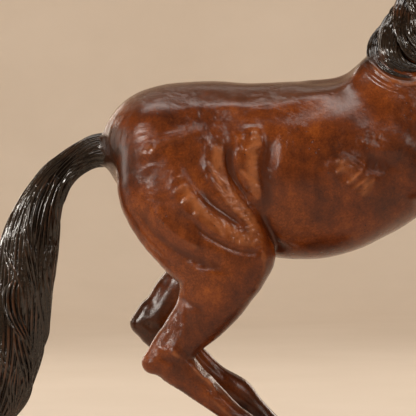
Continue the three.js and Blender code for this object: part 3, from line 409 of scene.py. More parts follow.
def form(x, y, z):
    """The body without its mane and tail."""
    def at(name, *place):
        return limbs[name](*(place or (x, y, z)))

    def with_leg(body, leg, hoof):
        return blend(body, blend(leg, hooves[hoof](x, y, z), 3), 12)

    half = np.abs(y)
    near = blend(blend(at("near_hind"), at("near_stifle"), 12), at("near_hock_point"), 9)
    far = blend(at("far_hind"), at("far_hock_point"), 9)
    body = blended("trunk", BODY_BLENDS, x, half, z)
    body = with_leg(with_leg(body, near, "near_hind"), far, "far_hind")
    body = body - np.where(y < 0, carved_near_hind(x, y, z), carved_far_hind(x, y, z))
    near = blend(blend(at("near_fore"), at("knee", x, -y, z), 5), at("fetlock", x, -y, z), 5)
    knee = at("knee", x - FAR_KNEE_SHIFT[0], y, z - FAR_KNEE_SHIFT[1])
    fetlock = at("fetlock", x - FAR_FETLOCK_SHIFT[0], y, z - FAR_FETLOCK_SHIFT[1])
    far = blend(blend(at("far_fore"), knee, 5), fetlock, 5)
    body = with_leg(with_leg(body, near, "near_fore"), far, "far_fore")
    head = blended("skull", HEAD_BLENDS, x, half, z) - carved_face(x, y, z)
    head = blend(head, at("eye", x, half, z), 1)
    return blend(body, head, 12) - carved_body(x, y, z)


def skin(x, y, z):
    """The form with the marks of the modelling tool on it."""
    uneven = 0.5 * noise(x / 26, y / 26, z / 26) + 0.10 * noise(x / 10, y / 10, z / 10)
    return form(x, y, z) - uneven


def evaluate(field, points):
    """The field at an array of points, shared out among threads."""
    parts = [points[n:n + CHUNK].T.astype(np.float32) for n in range(0, len(points), CHUNK)]
    with ThreadPoolExecutor(THREADS) as pool:
        return np.concatenate(list(pool.map(lambda p: field(*p), parts))).astype(np.float32)


# Meshing
BLOCK = 6  # grid steps along each side of the blocks that are tried first
NEAR_SHARE = 2.1  # how far from the middle of a block the skin may lie, in sides of the block


def cells_of(count):
    return np.stack(np.meshgrid(*[np.arange(n) for n in count], indexing="ij"), -1).reshape(-1, 3)


def sample(field, low, high, step):
    """Values on a grid. Only the blocks near the skin are sampled finely."""
    count = np.ceil((high - low) / step / BLOCK).astype(int) + 1
    values = evaluate(field, low + (cells_of(count) + 0.5) * BLOCK * step).reshape(count)
    for block, parts, middle in ((BLOCK, 2, 0.5), (BLOCK // 2, 3, 0)):
        near = np.argwhere(np.abs(values) < NEAR_SHARE * block * step)
        values = values.repeat(parts, 0).repeat(parts, 1).repeat(parts, 2)
        index = (near[:, None] * parts + cells_of([parts] * 3)).reshape(-1, 3)
        found = evaluate(field, low + (index + middle) * (block / parts) * step)
        values[index[:, 0], index[:, 1], index[:, 2]] = found
    return values


def wrap(values, low, step):
    """Surface nets: a point in each cell that the skin crosses, and a square for each crossed grid edge."""
    size = np.array(values.shape)
    strides = np.array([size[1] * size[2], size[2], 1])
    flat = values.reshape(-1)
    inside = values < 0
    cells, places, flips = [], [], []
    for axis in range(3):
        a = [slice(1, -1)] * 3
        b = [slice(1, -1)] * 3
        a[axis], b[axis] = slice(0, -1), slice(1, None)
        crossed = np.argwhere(inside[tuple(a)] != inside[tuple(b)])
        crossed += [0 if q == axis else 1 for q in range(3)]
        at = crossed @ strides
        va, vb = flat[at], flat[at + strides[axis]]
        place = crossed.astype(float)
        place[:, axis] += va / (va - vb)
        u, v = strides[(axis + 1) % 3], strides[(axis + 2) % 3]
        cells.append(at[:, None] + [-u - v, -v, 0, -u])
        places.append(place)
        flips.append(va >= 0)
    cells, places, flips = np.vstack(cells), np.vstack(places), np.concatenate(flips)
    used, faces = np.unique(cells, return_inverse=True)
    faces = faces.reshape(-1, 4)
    weight = np.bincount(faces.ravel(), minlength=len(used))
    sums = [np.bincount(faces.ravel(), np.repeat(places[:, q], 4), len(used)) for q in range(3)]
    faces[flips] = faces[flips][:, ::-1]
    return low + np.stack(sums, 1) / weight[:, None] * step, faces


def slope_of(field, points, value):
    h = 0.25
    slope = np.stack([evaluate(field, points + h * np.eye(3)[q]) for q in range(3)], 1)
    return (slope - value[:, None]) / h


def edges_of(faces):
    """The edges of each face, in the order of its corners."""
    corners = faces.shape[1]
    return np.concatenate([faces[:, [q, (q + 1) % corners]] for q in range(corners)])


def neighbour_mean(faces, count):
    """The function that takes the mean of a value of the points over the neighbours of each."""
    edges = edges_of(faces)
    share = np.maximum(np.bincount(edges[:, 0], minlength=count), 1)

    def mean(data):
        if data.ndim > 1:
            return np.stack([mean(data[:, q]) for q in range(data.shape[1])], 1)
        return np.bincount(edges[:, 0], data[edges[:, 1]], count) / share

    return mean


def relaxed(points, normals, faces, rounds):
    """Evens out the points along the skin."""
    mean = neighbour_mean(faces, len(points))
    for _ in range(rounds):
        away = mean(points) - points
        points = points + 0.5 * (away - normals * (away * normals).sum(1, keepdims=True))
    return points


def settle(field, points, faces):
    """Pulls the points onto the skin along its slope, evened out in between."""
    for n in range(2):
        value = evaluate(field, points)
        slope = slope_of(field, points, value)
        steep = (slope**2).sum(1, keepdims=True) + 1e-9
        points = points - np.clip(value[:, None], -1.5, 1.5) * slope / steep
        normals = slope / np.sqrt(steep)
        if not n:
            points = relaxed(points, normals, faces, 2)
    return points - np.clip(evaluate(field, points), -0.5, 0.5)[:, None] * normals


def evened(points, faces, rounds):
    """Takes the marks of the grid out of the skin, and keeps its size."""
    mean = neighbour_mean(faces, len(points))
    for step in (0.5, -0.53) * rounds:
        points = points + step * (mean(points) - points)
    return points


def normals_of(points, triangles):
    """Normals of the points, from the triangles round each."""
    a, b, c = (points[triangles[:, q]] for q in range(3))
    face = np.cross(b - a, c - a)
    normals = np.zeros(points.shape)
    for n in range(3):
        normals[:, n] = sum(np.bincount(triangles[:, q], face[:, n], len(points)) for q in range(3))
    return normals / (np.linalg.norm(normals, axis=1, keepdims=True) + 1e-12)


def rings_of(along, around):
    """Squares between rings of points that follow each other."""
    i, k = np.meshgrid(np.arange(along) * around, np.arange(around), indexing="ij")
    here, beside = i + k, i + (k + 1) % around
    return np.stack([here, here + around, beside + around, beside], -1).reshape(-1, 4)


def make_piece(name, points, faces, normals=None, attributes=None):
    """A smooth mesh object from arrays of points, in metres, and of squares or triangles."""
    mesh = bpy.data.meshes.new(name)
    mesh.vertices.add(len(points))
    mesh.vertices.foreach_set("co", np.ascontiguousarray(points, np.float32).ravel())
    corners = faces.shape[1]
    mesh.loops.add(faces.size)
    mesh.loops.foreach_set("vertex_index", faces.astype(np.int32).ravel())
    mesh.polygons.add(len(faces))
    mesh.polygons.foreach_set("loop_start", np.arange(0, faces.size, corners, dtype=np.int32))
    mesh.polygons.foreach_set("use_smooth", np.ones(len(faces), bool))
    mesh.update(calc_edges=True)
    mesh.validate()
    for key, data in (attributes or {}).items():
        mesh.attributes.new(key, "FLOAT", "POINT").data.foreach_set("value", data.astype(np.float32))
    if normals is not None:
        mesh.normals_split_custom_set_from_vertices(normals.tolist())
    piece = bpy.data.objects.new(name, mesh)
    bpy.context.scene.collection.objects.link(piece)
    return piece


def triangles_of(squares, points):
    """Cuts squares along their shorter diagonal."""
    a, b, c, d = (points[squares[:, q]] for q in range(4))
    short = ((a - c) ** 2).sum(1) <= ((b - d) ** 2).sum(1)
    first = np.where(short[:, None], squares[:, [0, 1, 2]], squares[:, [0, 1, 3]])
    second = np.where(short[:, None], squares[:, [0, 2, 3]], squares[:, [1, 2, 3]])
    return np.vstack([first, second])


def relief_of(points, triangles, normals, rounds, blur):
    """Below 0 in grooves and above 0 on ridges: how far each point stands out from those round it."""
    mean = neighbour_mean(triangles, len(points))
    near = points
    for _ in range(rounds):
        near = mean(near)
    height = ((points - near) * normals).sum(1)
    for _ in range(blur):
        height = mean(height)
    return height


# The body: one closed skin, cut into three closed pieces that meet inside it
LOW = np.array([-215.0, -82, 22])
HIGH = np.array([292.0, 82, 646])
STEP = 1.5
BARREL_CUT = -18
NECK_CUT = (150, 486)
NECK_CUT_ACROSS = (0.34, 0.94)
HIND_LEGS_BELOW = 180  # there, what lies behind FOREHAND_FROM is a hind leg, even in front of the cut
FOREHAND_FROM = 60
BODY_STROKE_RELIEF = 0.17
LEG_STROKE_RELIEF = 0.2

body_points, body_squares = wrap(sample(form, LOW, HIGH, STEP), LOW, STEP)
body_points = evened(settle(skin, body_points, body_squares), body_squares, 3)
body_triangles = triangles_of(body_squares, body_points)
body_normals = normals_of(body_points, body_triangles)
body_relief = relief_of(body_points, body_triangles, body_normals, 8, 3)
body_relief += BODY_STROKE_RELIEF * carved_body(*body_points.T)
body_relief += LEG_STROKE_RELIEF * carved_near_hind(*body_points.T)
middle = body_points[body_triangles].mean(axis=1)
forehand = middle[:, 0] > FOREHAND_FROM
on_neck = forehand & ((middle[:, [0, 2]] - NECK_CUT) @ NECK_CUT_ACROSS > 0)
behind = (middle[:, 0] < BARREL_CUT) | ((middle[:, 2] < HIND_LEGS_BELOW) & ~forehand)


def dark_places(points):
    """How dark the brown turns: dark patina round the dock, along the crest, on the pasterns and hooves,
    and painted shade on the far hock.
    """
    x, y, z = points.T
    cloud = 5 * noise(x / 9, y / 9, z / 9)
    streak = 6 * noise(x / 24, y / 3, z / 3)
    dock = 1 - smooth(12, 52, np.hypot(x + 204, 0.9 * (z - 367)) + cloud + streak)
    crest_x = np.interp(z, [440, 480, 520, 560, 600], [78, 98, 117, 137, 163])
    crest = (1 - smooth(4, 20, x - crest_x + cloud)) * smooth(440, 462, z)
    # Painted shade: the far hock, on the far side behind the near leg, is darkened in its colour
    far_hock = 0.75 * (1 - smooth(6, 44, np.hypot(x + 156, 0.7 * (z - 200)) + cloud + streak)) * (y > 0)
    far_leg = (1 - smooth(100, 128, z + 0.4 * (x + 45) + cloud)) * (y > 0)
    near_leg = (1 - smooth(66, 92, z + 0.4 * (x + 25) + cloud)) * (y < 0)
    fore = (x > 180) & (z < 330)
    fore = fore * np.where(y < 0, 1 - smooth(250, 276, z + cloud), 1 - smooth(293, 318, z + cloud))
    legs = 0.9 * np.maximum.reduce([far_leg, near_leg, fore])
    return np.clip(np.maximum.reduce([dock, crest, far_hock, legs]), 0, 1)


def closed_part(name, chosen):
    """The chosen triangles of the skin, closed by a fan across each opening."""
    used, index = np.unique(body_triangles[chosen], return_inverse=True)
    triangles = index.reshape(-1, 3)
    points, normals = body_points[used], body_normals[used]
    edges = edges_of(triangles)
    key = edges[:, 0] * len(points) + edges[:, 1]
    back = edges[:, 1] * len(points) + edges[:, 0]
    rim = edges[~np.isin(key, back)]
    openings = 0
    follow = dict(rim.tolist())
    while follow:
        start, here = next(iter(follow.items()))
        loop = [start]
        del follow[start]
        while here != start:
            loop.append(here)
            here = follow.pop(here)
        openings += 1
        centre = len(points)
        points = np.vstack([points, points[loop].mean(axis=0)])
        normals = np.vstack([normals, [0, 0, 1]])
        ahead = np.roll(loop, -1)
        triangles = np.vstack([triangles, np.stack([ahead, loop, np.full(len(loop), centre)], 1)])
    print(name, len(triangles), "triangles", openings, "openings closed")
    relief = np.concatenate([body_relief[used], np.zeros(openings)])
    attributes = {"relief": relief, "darkness": dark_places(points)}
    return make_piece(name, points * U + [0, 0, LIFT], triangles, normals, attributes)


body_pieces = [
    closed_part("hindquarters", behind & ~on_neck),
    closed_part("forequarters", ~behind & ~on_neck),
    closed_part("head_and_neck", on_neck),
]


# Hair: swept skins with locks and strands on them
FINE = 1.0
ROOT_ROUNDING = 0.02


def tube(stations, around, along, side, height, tip):
    """A closed skin swept round a smooth line, raised by height(s, angle), with s from 0 to 1 along it."""
    rows = np.array(stations, float)
    line = spline(rows[:, [0, 2, 1]] * [1, side, 1], HAIR_SUBSTEPS, True)
    radii = spline(rows[:, 3:5], HAIR_SUBSTEPS, False)
    length = np.concatenate([[0], np.cumsum(np.linalg.norm(np.diff(line, axis=0), axis=1))])
    around, along = int(around * FINE), int(along * FINE)
    s = np.linspace(0, 1, along + 1)

    def resample(data):
        return np.stack([np.interp(s * length[-1], length, data[:, q]) for q in range(data.shape[1])], 1)

    def rounded(t):
        return np.sqrt(np.clip(1 - (1 - np.clip(t, 0, 1)) ** 2, 0.0025, 1))

    line, radii = resample(line), resample(radii)
    ahead = np.gradient(line, axis=0)
    ahead /= np.linalg.norm(ahead, axis=1, keepdims=True)
    out = np.stack([-ahead[:, 2], np.zeros(along + 1), ahead[:, 0]], 1)
    out /= np.linalg.norm(out, axis=1, keepdims=True) + 1e-9
    across = np.cross(ahead, out)
    r = radii[:, 0]
    w = np.hypot(radii[:, 0] * np.hypot(across[:, 0], across[:, 2]), radii[:, 1] * across[:, 1])
    ends = (rounded(s / ROOT_ROUNDING) * rounded((1 - s) / tip))[:, None]
    angle = np.tile(np.linspace(0, 2 * math.pi, around, endpoint=False), (along + 1, 1))
    angle = (angle + math.pi) % (2 * math.pi) - math.pi
    raised = height(s[:, None], angle)
    high = (r[:, None] + raised) * ends * np.cos(angle)
    wide = (w[:, None] + raised) * ends * np.sin(angle)
    points = line[:, None, :] + high[..., None] * out[:, None, :] + wide[..., None] * across[:, None, :]
    points = np.vstack([points.reshape(-1, 3), line[0], line[-1]])
    k = np.arange(around)
    beside = (k + 1) % around
    last = along * around
    start = np.stack([k, beside, np.full(around, len(points) - 2)], 1)
    end = np.stack([last + beside, last + k, np.full(around, len(points) - 1)], 1)
    triangles = np.vstack([triangles_of(rings_of(along, around), points), start, end])
    return points, outward(points, triangles)


def outward(points, triangles):
    """Turns the triangles round if they look inwards."""
    a, b, c = (points[triangles[:, q]] for q in range(3))
    volume = np.einsum("ij,ij->i", a, np.cross(b, c)).sum()
    return triangles if volume > 0 else triangles[:, ::-1]


def joined(name, skins, scale=U, lift=LIFT):
    """One object from several closed skins."""
    points, triangles, count = [], [], 0
    for p, t in skins:
        points.append(p)
        triangles.append(t + count)
        count += len(p)
    points, triangles = np.vstack(points), np.vstack(triangles)
    relief = relief_of(points, triangles, normals_of(points, triangles), 4, 1)
    print(name, len(triangles), "triangles")
    return make_piece(name, points * scale + [0, 0, lift], triangles, attributes={"relief": relief})


def strands(value, sharp=0.55):
    """Rounded strands with narrow valleys between them, one for each whole step of value."""
    return np.abs(np.sin(np.pi * value)) ** sharp


RNG = np.random.default_rng(5)
TAIL_DEPTH = 6.6
TAIL_ROWS = 9
LOCKS_ROUND = 7
tail_locks = []
for row in range(TAIL_ROWS):
    start = -0.16 + 0.125 * row
    for n in range(LOCKS_ROUND):
        place = 2 * math.pi * (n + 0.5 * (row % 2)) / LOCKS_ROUND
        tail_locks.append({
            "start": start + RNG.uniform(-0.04, 0.04),
            "length": RNG.uniform(0.22, 0.40) * (1 if row < 4 else 0.85),
            "angle": place + RNG.uniform(-0.25, 0.25) - 1.6 * start,
            "slant": -RNG.uniform(0.1, 1.0) * (1 if row < 3 else 1.7),
            "bow": RNG.uniform(-0.3, 0.3) * (1 if row < 3 else 2.0),
            "half": RNG.uniform(0.34, 0.60),
            "strands": int(RNG.integers(3, 6)),
            "lift": RNG.uniform(0.55, 1.0),
        })


def tail_height(s, angle):
    """Overlapping locks, each with strands that run together at its tip."""
    wave = 0.12 * noise(s * 7, np.cos(angle) * 1.6, np.sin(angle) * 1.6)
    height = TAIL_DEPTH * (-0.95 + 0.45 * strands(15 * (angle + 1.6 * s + wave) / math.pi, 1.2))
    for lock in tail_locks:
        t = (s - lock["start"]) / lock["length"]
        if not ((t > 0) & (t < 1)).any():
            continue
        t = np.clip(t, 0, 1)
        middle = lock["angle"] + lock["slant"] * t + lock["bow"] * np.sin(math.pi * t)
        off = (angle - middle + wave + math.pi) % (2 * math.pi) - math.pi
        half = lock["half"] * (0.3 + 0.7 * smooth(0, 0.4, t)) * np.sqrt(np.clip(1 - t**2.4, 0, 1)) + 1e-4
        u = off / half
        within = (np.abs(u) < 1) & (t > 0) & (t < 1)
        dome = np.sqrt(np.clip(1 - u * u, 0, 1))
        rise = smooth(0, 0.3, t) * lock["lift"] * (1 - 0.55 * smooth(0.75, 1, t))
        strand = strands((u + 1) / 2 * lock["strands"] + 0.5 * wave / lock["half"], 1.15)
        here = TAIL_DEPTH * (rise * dome**0.6 * (0.30 + 0.70 * strand) - 1)
        height = np.where(within & (here > height), here, height)
    ragged = smooth(-0.02, 0.07, s + 0.03 * noise(angle * 4, 0 * s + 3, 0 * angle))
    return height * (0.3 + 0.7 * smooth(0.03, 0.16, s)) - 3.5 * (1 - ragged)


tail = joined("tail", [tube(TAIL, 256, 372, 1, tail_height, 0.05)])


def mane_lock(x, z, swing, drop, curl, thick):
    """Starts on the crest at (x, z), swings back, hangs down and curls forward at its tip."""
    return [
        (x, z, 3, 0.8 * thick, 7),
        (x - 0.6 * swing, z - 0.15 * drop, 16, thick, 8),
        (x - swing, z - 0.36 * drop, 26, 1.1 * thick, 8),
        (x - 0.9 * swing, z - 0.58 * drop, 32, thick, 8),
        (x - 0.35 * swing + 0.15 * curl, z - 0.78 * drop, 35, 0.85 * thick, 7),
        (x - 0.2 * swing + 0.5 * curl, z - 0.93 * drop, 36, 0.6 * thick, 5),
        (x + curl, z - drop, 35, 2, 2.5),
    ]


LOCK_STRANDS = 18
LOCK_STRAND_DEPTH = 2.1
LOCK_FOLDS = 3
LOCK_FOLD_DEPTH = 1.6


def lock_height(seed):
    """A few big folds and many strands round a lock."""
    def height(s, angle):
        wobble = 0.25 * noise(s * 5 + seed, np.cos(angle) * 1.2, np.sin(angle) * 1.2 + seed)
        turn = angle / (2 * math.pi) + 0.12 * s
        fold = 1 - np.abs(np.sin(math.pi * LOCK_FOLDS * (turn + 0.3 * wobble)))
        strand = strands(LOCK_STRANDS * turn + 1.4 * wobble)
        fade = smooth(0, 0.12, 1 - s)
        return -(LOCK_FOLD_DEPTH * fold + LOCK_STRAND_DEPTH * (1 - strand)) * (0.35 + 0.65 * fade)
    return height


def lock_skins(locks, side, around, along):
    return [tube(lock, around, along, side, lock_height(3.7 * n), 0.08) for n, lock in enumerate(locks)]


WITHERS_LOCKS = [
    [(96, 496, 6, 6, 6), (86, 487, 10, 7, 6), (78, 475, 15, 7.5, 7), (76, 462, 23, 7.5, 7),
     (81, 450, 33, 6.5, 6), (95, 441, 41, 5, 5), (116, 437, 45, 2, 2)],
    [(104, 509, 8, 6, 6), (93, 498, 14, 6.5, 6), (87, 484, 22, 7, 6), (86, 469, 30, 6.5, 6),
     (91, 457, 38, 5.5, 5), (105, 449, 43, 4, 4), (126, 447, 45, 1.8, 2)],
    [(108, 506, 9, 4.5, 4), (100, 510, 13, 4.5, 4), (95, 505, 15, 4, 4), (97, 498, 16, 3.2, 3),
     (102, 497, 15, 2, 2)],
    [(128, 536, 9, 5, 5), (112, 520, 20, 5.5, 5), (104, 500, 30, 5.5, 5), (102, 480, 38, 5, 4),
     (111, 462, 43, 4, 4), (130, 453, 44, 1.6, 2)],
]
RIGHT_MANE = [
    (120, 530, 14, 86, 20, 12), (127, 543, 8, 92, 26, 10), (134, 557, 14, 84, 14, 12),
    (143, 571, 10, 98, 30, 10), (151, 585, 14, 82, 12, 11), (160, 597, 10, 90, 24, 9),
    (170, 604, 9, 66, 6, 8),
]
LEFT_MANE = [
    (96, 480, 10, 48, 14, 10), (110, 510, 12, 66, 20, 11), (124, 538, 11, 70, 12, 11),
    (139, 564, 12, 76, 22, 11), (154, 588, 11, 66, 10, 10),
]
right_locks = [*WITHERS_LOCKS, FOREMOST_RIGHT_LOCK, FLYING_LOCK, *[mane_lock(*row) for row in RIGHT_MANE]]
left_locks = [CREST, FORELOCK, *[mane_lock(*row) for row in LEFT_MANE]]
mane_right = joined("mane_right", lock_skins(right_locks, -1, 72, 104))
mane_left = joined("mane_left", lock_skins(left_locks, 1, 66, 102))


# The base, in millimetres until its points are handed over
MM = 1000
HALF_LENGTH = BASE_LENGTH * MM / 2
HALF_WIDTH = BASE_WIDTH * MM / 2
THICK = BASE_THICKNESS * MM
RIM = RIM_HEIGHT * MM
BEVEL = 3
PAD_LENGTH = 46
PAD_WIDTH = 36
pads = [
    (NEAR_HOOF, -1, THICK, 1.5),
    (FAR_HOOF, 1, (BASE_THICKNESS + (FAR_SOLE - NEAR_SOLE) * U) * MM, 1.9),
]


def ground(x, y):
    """Rising from the rim to a low crown, dabbed on like clay, with a rock under the far hoof."""
    out = np.hypot(x / HALF_LENGTH, y / HALF_WIDTH)
    crown = (THICK - RIM) * (1 - smooth(0.15, 1, out))
    uneven = 1.6 * np.sin(0.093 * x + 1.3) * np.cos(0.118 * y - 0.4) + 0.9 * np.sin(0.21 * x - 0.17 * y)
    height = np.minimum(RIM + crown * 0.9 + uneven * (1 - smooth(0.8, 1, out)), THICK - 0.5)
    flat = np.zeros(x.shape)
    for (hoof_x, hoof_y), side, top, slope in reversed(pads):
        ahead, aside = x - hoof_x * U * MM, y - side * hoof_y * U * MM
        away = np.hypot(ahead / (PAD_LENGTH / 2), aside / (PAD_WIDTH / 2))
        height = height + (top - height) * (1 - smooth(1, slope, away))
        flat = np.maximum(flat, 1 - smooth(0.95, 1.15, away))
    dabs = 0.75 * noise(x / 15, y / 9, 0.3 * x / 9) + 0.4 * noise(x / 5, y / 7, y / 11)
    dabs = dabs + 0.15 * noise(x / 2, y / 2, 0 * x)
    return height + (dabs - 0.5) * (1 - flat) * (1 - smooth(0.93, 1, out))


def oval(u, v, inset):
    """A place of the square from -1 to 1, drawn into the oval of the base."""
    x, y = u * (HALF_LENGTH - inset), v * (HALF_WIDTH - inset)
    return x * np.sqrt(1 - v * v / 2), y * np.sqrt(1 - u * u / 2)


def base_skin():
    across, deep = int(236 * FINE), int(132 * FINE)
    u, v = np.meshgrid(np.linspace(-1, 1, across + 1), np.linspace(-1, 1, deep + 1), indexing="ij")
    x, y = oval(u, v, BEVEL)
    points = [np.stack([x, y, ground(x, y)], -1).reshape(-1, 3)]
    index = np.arange((across + 1) * (deep + 1)).reshape(across + 1, deep + 1)
    corners = [index[:-1, :-1], index[1:, :-1], index[1:, 1:], index[:-1, 1:]]
    squares = [np.stack(corners, -1).reshape(-1, 4)]
    loop = np.concatenate([index[:-1, 0], index[-1, :-1], index[:0:-1, -1], index[0, :0:-1]])
    edge_u, edge_v = u.reshape(-1)[loop], v.reshape(-1)[loop]
    top = points[0][loop, 2]
    count = len(points[0])
    turns = np.linspace(0.25, math.pi / 2, 6)
    rings = [(BEVEL * (1 - math.sin(a)), RIM - BEVEL * (1 - math.cos(a))) for a in turns]
    rings += [(0, 8.0), (0, 6.0), (0, 4.0), (0, 2.0), (0, 1.0), (0.25, 0.3), (0.8, 0)]
    before = loop
    for n, (inset, height) in enumerate(rings):
        uneven = 0 < n < 9
        x, y = oval(edge_u, edge_v, inset)
        soft = 0.25 * noise(x / 9, y / 9, np.full(x.shape, height / 5)) * uneven
        scale = 1 - (0.25 + soft) / np.hypot(x, y) * uneven
        z = np.minimum(height, top - 0.2 * (n + 1)) if n < 3 else np.full(x.shape, height)
        points.append(np.stack([x * scale, y * scale, z], 1))
        here = count + np.arange(len(loop))
        count += len(loop)
        squares.append(np.stack([before, here, np.roll(here, -1), np.roll(before, -1)], 1))
        before = here
    points.append(np.array([[0, 0, 0]]))
    points = np.vstack(points)
    under = np.stack([before, np.full(len(before), count), np.roll(before, -1)], 1)
    return points, outward(points, np.vstack([triangles_of(np.vstack(squares), points), under]))


base = joined("ground", [base_skin()], 1 / MM, 0)


# Finishes
class Material:
    """A node material, built by name."""

    def __init__(self, name):
        self.data = bpy.data.materials.new(name)
        self.data.use_nodes = True
        self.tree = self.data.node_tree
        self.tree.nodes.clear()
        self.coordinates = self.add("TexCoord").outputs["Object"]

    def put(self, socket, value):
        """Links a socket to another, or gives it a value."""
        if isinstance(value, bpy.types.NodeSocket):
            self.tree.links.new(value, socket)
        else:
            socket.default_value = value

    def add(self, kind, inputs=None, **settings):
        node = self.tree.nodes.new("ShaderNode" + kind)
        for key, value in settings.items():
            setattr(node, key, value)
        for key, value in (inputs or {}).items():
            self.put(node.inputs[key], value)
        return node

    def attribute(self, name):
        return self.add("Attribute", attribute_name=name).outputs["Fac"]

    def noise(self, scale, detail, rough=0.55, stretch=None, distortion=0.0):
        place = self.coordinates
        if stretch:
            place = self.add("Mapping", {"Vector": place, "Scale": stretch}).outputs[0]
        inputs = {"Vector": place, "Scale": scale, "Detail": detail, "Roughness": rough}
        return self.add("TexNoise", {**inputs, "Distortion": distortion}).outputs["Fac"]

    def math(self, operation, a, b=0.0):
        return self.add("Math", {0: a, 1: b}, operation=operation).outputs[0]

    def times(self, a, b):
        return self.math("MULTIPLY", a, b)

    def total(self, first, *others):
        """The sum of values, each with its share."""
        out = self.times(*first)
        for other in others:
            out = self.math("ADD", out, self.times(*other))
        return out

    def range(self, value, low, high, to_low=0.0, to_high=1.0):
        inputs = {"Value": value, "From Min": low, "From Max": high, "To Min": to_low, "To Max": to_high}
        return self.add("MapRange", inputs, interpolation_type="SMOOTHSTEP").outputs[0]

    def ramp(self, value, stops):
        node = self.add("ValToRGB", {"Fac": value})
        ramp = node.color_ramp
        while len(ramp.elements) < len(stops):
            ramp.elements.new(0.5)
        for element, (place, colour) in zip(ramp.elements, stops):
            element.position = place
            element.color = (*colour, 1)
        return node.outputs["Color"]

    def mix(self, share, a, b):
        """From a, a colour or a socket, to the colour b."""
        node = self.add("Mix", data_type="RGBA")
        self.put(node.inputs[0], share)
        self.put(node.inputs[6], (*a, 1) if isinstance(a, tuple) else a)
        self.put(node.inputs[7], (*b, 1))
        return node.outputs[2]

    def bump(self, height, strength, distance, normal=None):
        inputs = {"Height": height, "Strength": strength, "Distance": distance}
        if normal is not None:
            inputs["Normal"] = normal
        return self.add("Bump", inputs).outputs[0]

    def finish(self, **inputs):
        shader = self.add("BsdfPrincipled")
        for key, value in inputs.items():
            self.put(shader.inputs[key.replace("_", " ").title().replace("Ior", "IOR")], value)
        self.add("OutputMaterial", {"Surface": shader.outputs[0]})
        return self.data


def brown_patina():
    m = Material("brown_patina_finish")
    relief = m.attribute("relief")
    darkness = m.attribute("darkness")
    up = m.add("SeparateXYZ", {0: m.add("NewGeometry").outputs["Normal"]}).outputs["Z"]
    clouds = m.noise(15, 5, 0.6, distortion=0.5)
    specks = m.noise(130, 6, 0.7)
    strokes = m.noise(60, 4, 0.6, stretch=(1, 1, 0.3), distortion=0.6)
    grain = m.noise(620, 4, 0.65, distortion=0.4)
    tone = m.total((clouds, 0.4), (specks, 0.18), (strokes, 0.20), (grain, 0.22))
    colour = m.ramp(tone, [
        (0.36, (0.024, 0.0056, 0.001)), (0.45, (0.080, 0.0205, 0.003)),
        (0.53, (0.160, 0.046, 0.0066)), (0.63, (0.330, 0.115, 0.02)),
    ])
    groove = m.range(relief, -0.9, 0.0, 1, 0)
    # Crests turn pale pinkish brown: partly rubbed wear of the patina, partly a painted highlight
    ridge = m.range(relief, 0.5, 1.15)
    colour = m.mix(m.times(groove, 0.8), colour, (0.058, 0.013, 0.0026))
    worn = m.times(ridge, m.range(m.noise(95, 5, 0.7), 0.3, 0.6, 0.2, 0.62))
    colour = m.mix(worn, colour, (0.48, 0.24, 0.14))
    # Upward-facing surfaces turn a darker grey-brown in patches
    greyer_on_top = m.times(m.range(up, 0.35, 0.95), m.range(clouds, 0.25, 0.6, 0.55, 0.9))
    colour = m.mix(greyer_on_top, colour, (0.062, 0.030, 0.016))
    # darkness: dark patina near the hair and on the lower legs, and painted shade on the far hock
    colour = m.mix(m.times(darkness, 0.93), colour, (0.010, 0.0055, 0.0035))
    pits = m.add("TexVoronoi", {"Vector": m.coordinates, "Scale": 190.0}).outputs["Distance"]
    holes = m.times(m.range(pits, 0.03, 0.15, 1, 0), m.range(m.noise(26, 2), 0.52, 0.62))
    colour = m.mix(m.times(holes, 0.85), colour, (0.010, 0.004, 0.002))
    rings = m.math("SINE", m.times(m.noise(19, 3, 0.45, distortion=0.9), 880.0))
    ringed = m.times(rings, m.range(m.noise(20, 2), 0.42, 0.62))
    normal = m.bump(holes, 0.7, -0.0007)
    normal = m.bump(ringed, 0.32, 0.00008, normal)
    normal = m.bump(m.noise(260, 4, 0.6, stretch=(1, 1, 0.5), distortion=0.5), 0.18, 0.0009, normal)
    normal = m.bump(grain, 0.22, 0.0004, normal)
    rough = m.range(specks, 0.3, 0.72, 0.36, 0.55)
    return m.finish(base_color=colour, metallic=0.0, roughness=rough, normal=normal, coat_weight=1.0,
                    coat_roughness=0.25, coat_tint=(0.82, 0.56, 0.32, 1), coat_normal=normal,
                    coat_ior=1.42, specular_ior_level=0.12, specular_tint=(1.0, 0.6, 0.36, 1))


def dark_patina():
    m = Material("dark_patina_finish")
    relief = m.attribute("relief")
    specks = m.noise(240, 5, 0.6)
    tone = m.total((m.noise(24, 5, 0.6), 0.6), (specks, 0.4))
    colour = m.ramp(tone, [
        (0.35, (0.006, 0.0036, 0.0025)), (0.52, (0.013, 0.0075, 0.0048)),
        (0.7, (0.032, 0.014, 0.0066)),
    ])
    worn = m.times(m.range(relief, 0.0, 0.35), m.range(m.noise(42, 3), 0.46, 0.62))
    colour = m.mix(m.times(worn, 0.6), colour, (0.090, 0.034, 0.014))
    groove = m.range(relief, -0.45, 0.05, 1, 0)
    colour = m.mix(m.times(groove, 0.85), colour, (0.002, 0.0013, 0.001))
    normal = m.bump(m.noise(420, 4, 0.6), 0.12, 0.0006)
    rough = m.range(specks, 0.3, 0.75, 0.28, 0.42)
    return m.finish(base_color=colour, metallic=0.0, roughness=rough, normal=normal, coat_weight=1.0,
                    coat_roughness=0.09, coat_tint=(0.85, 0.7, 0.55, 1), coat_normal=normal,
                    specular_ior_level=0.15)


def floor_finish():
    m = Material("floor_finish")
    grain = m.noise(3, 5, 0.6)
    colour = m.mix(grain, (0.64, 0.54, 0.435), (0.74, 0.64, 0.535))
    return m.finish(base_color=colour, roughness=0.8, specular_ior_level=0.15)


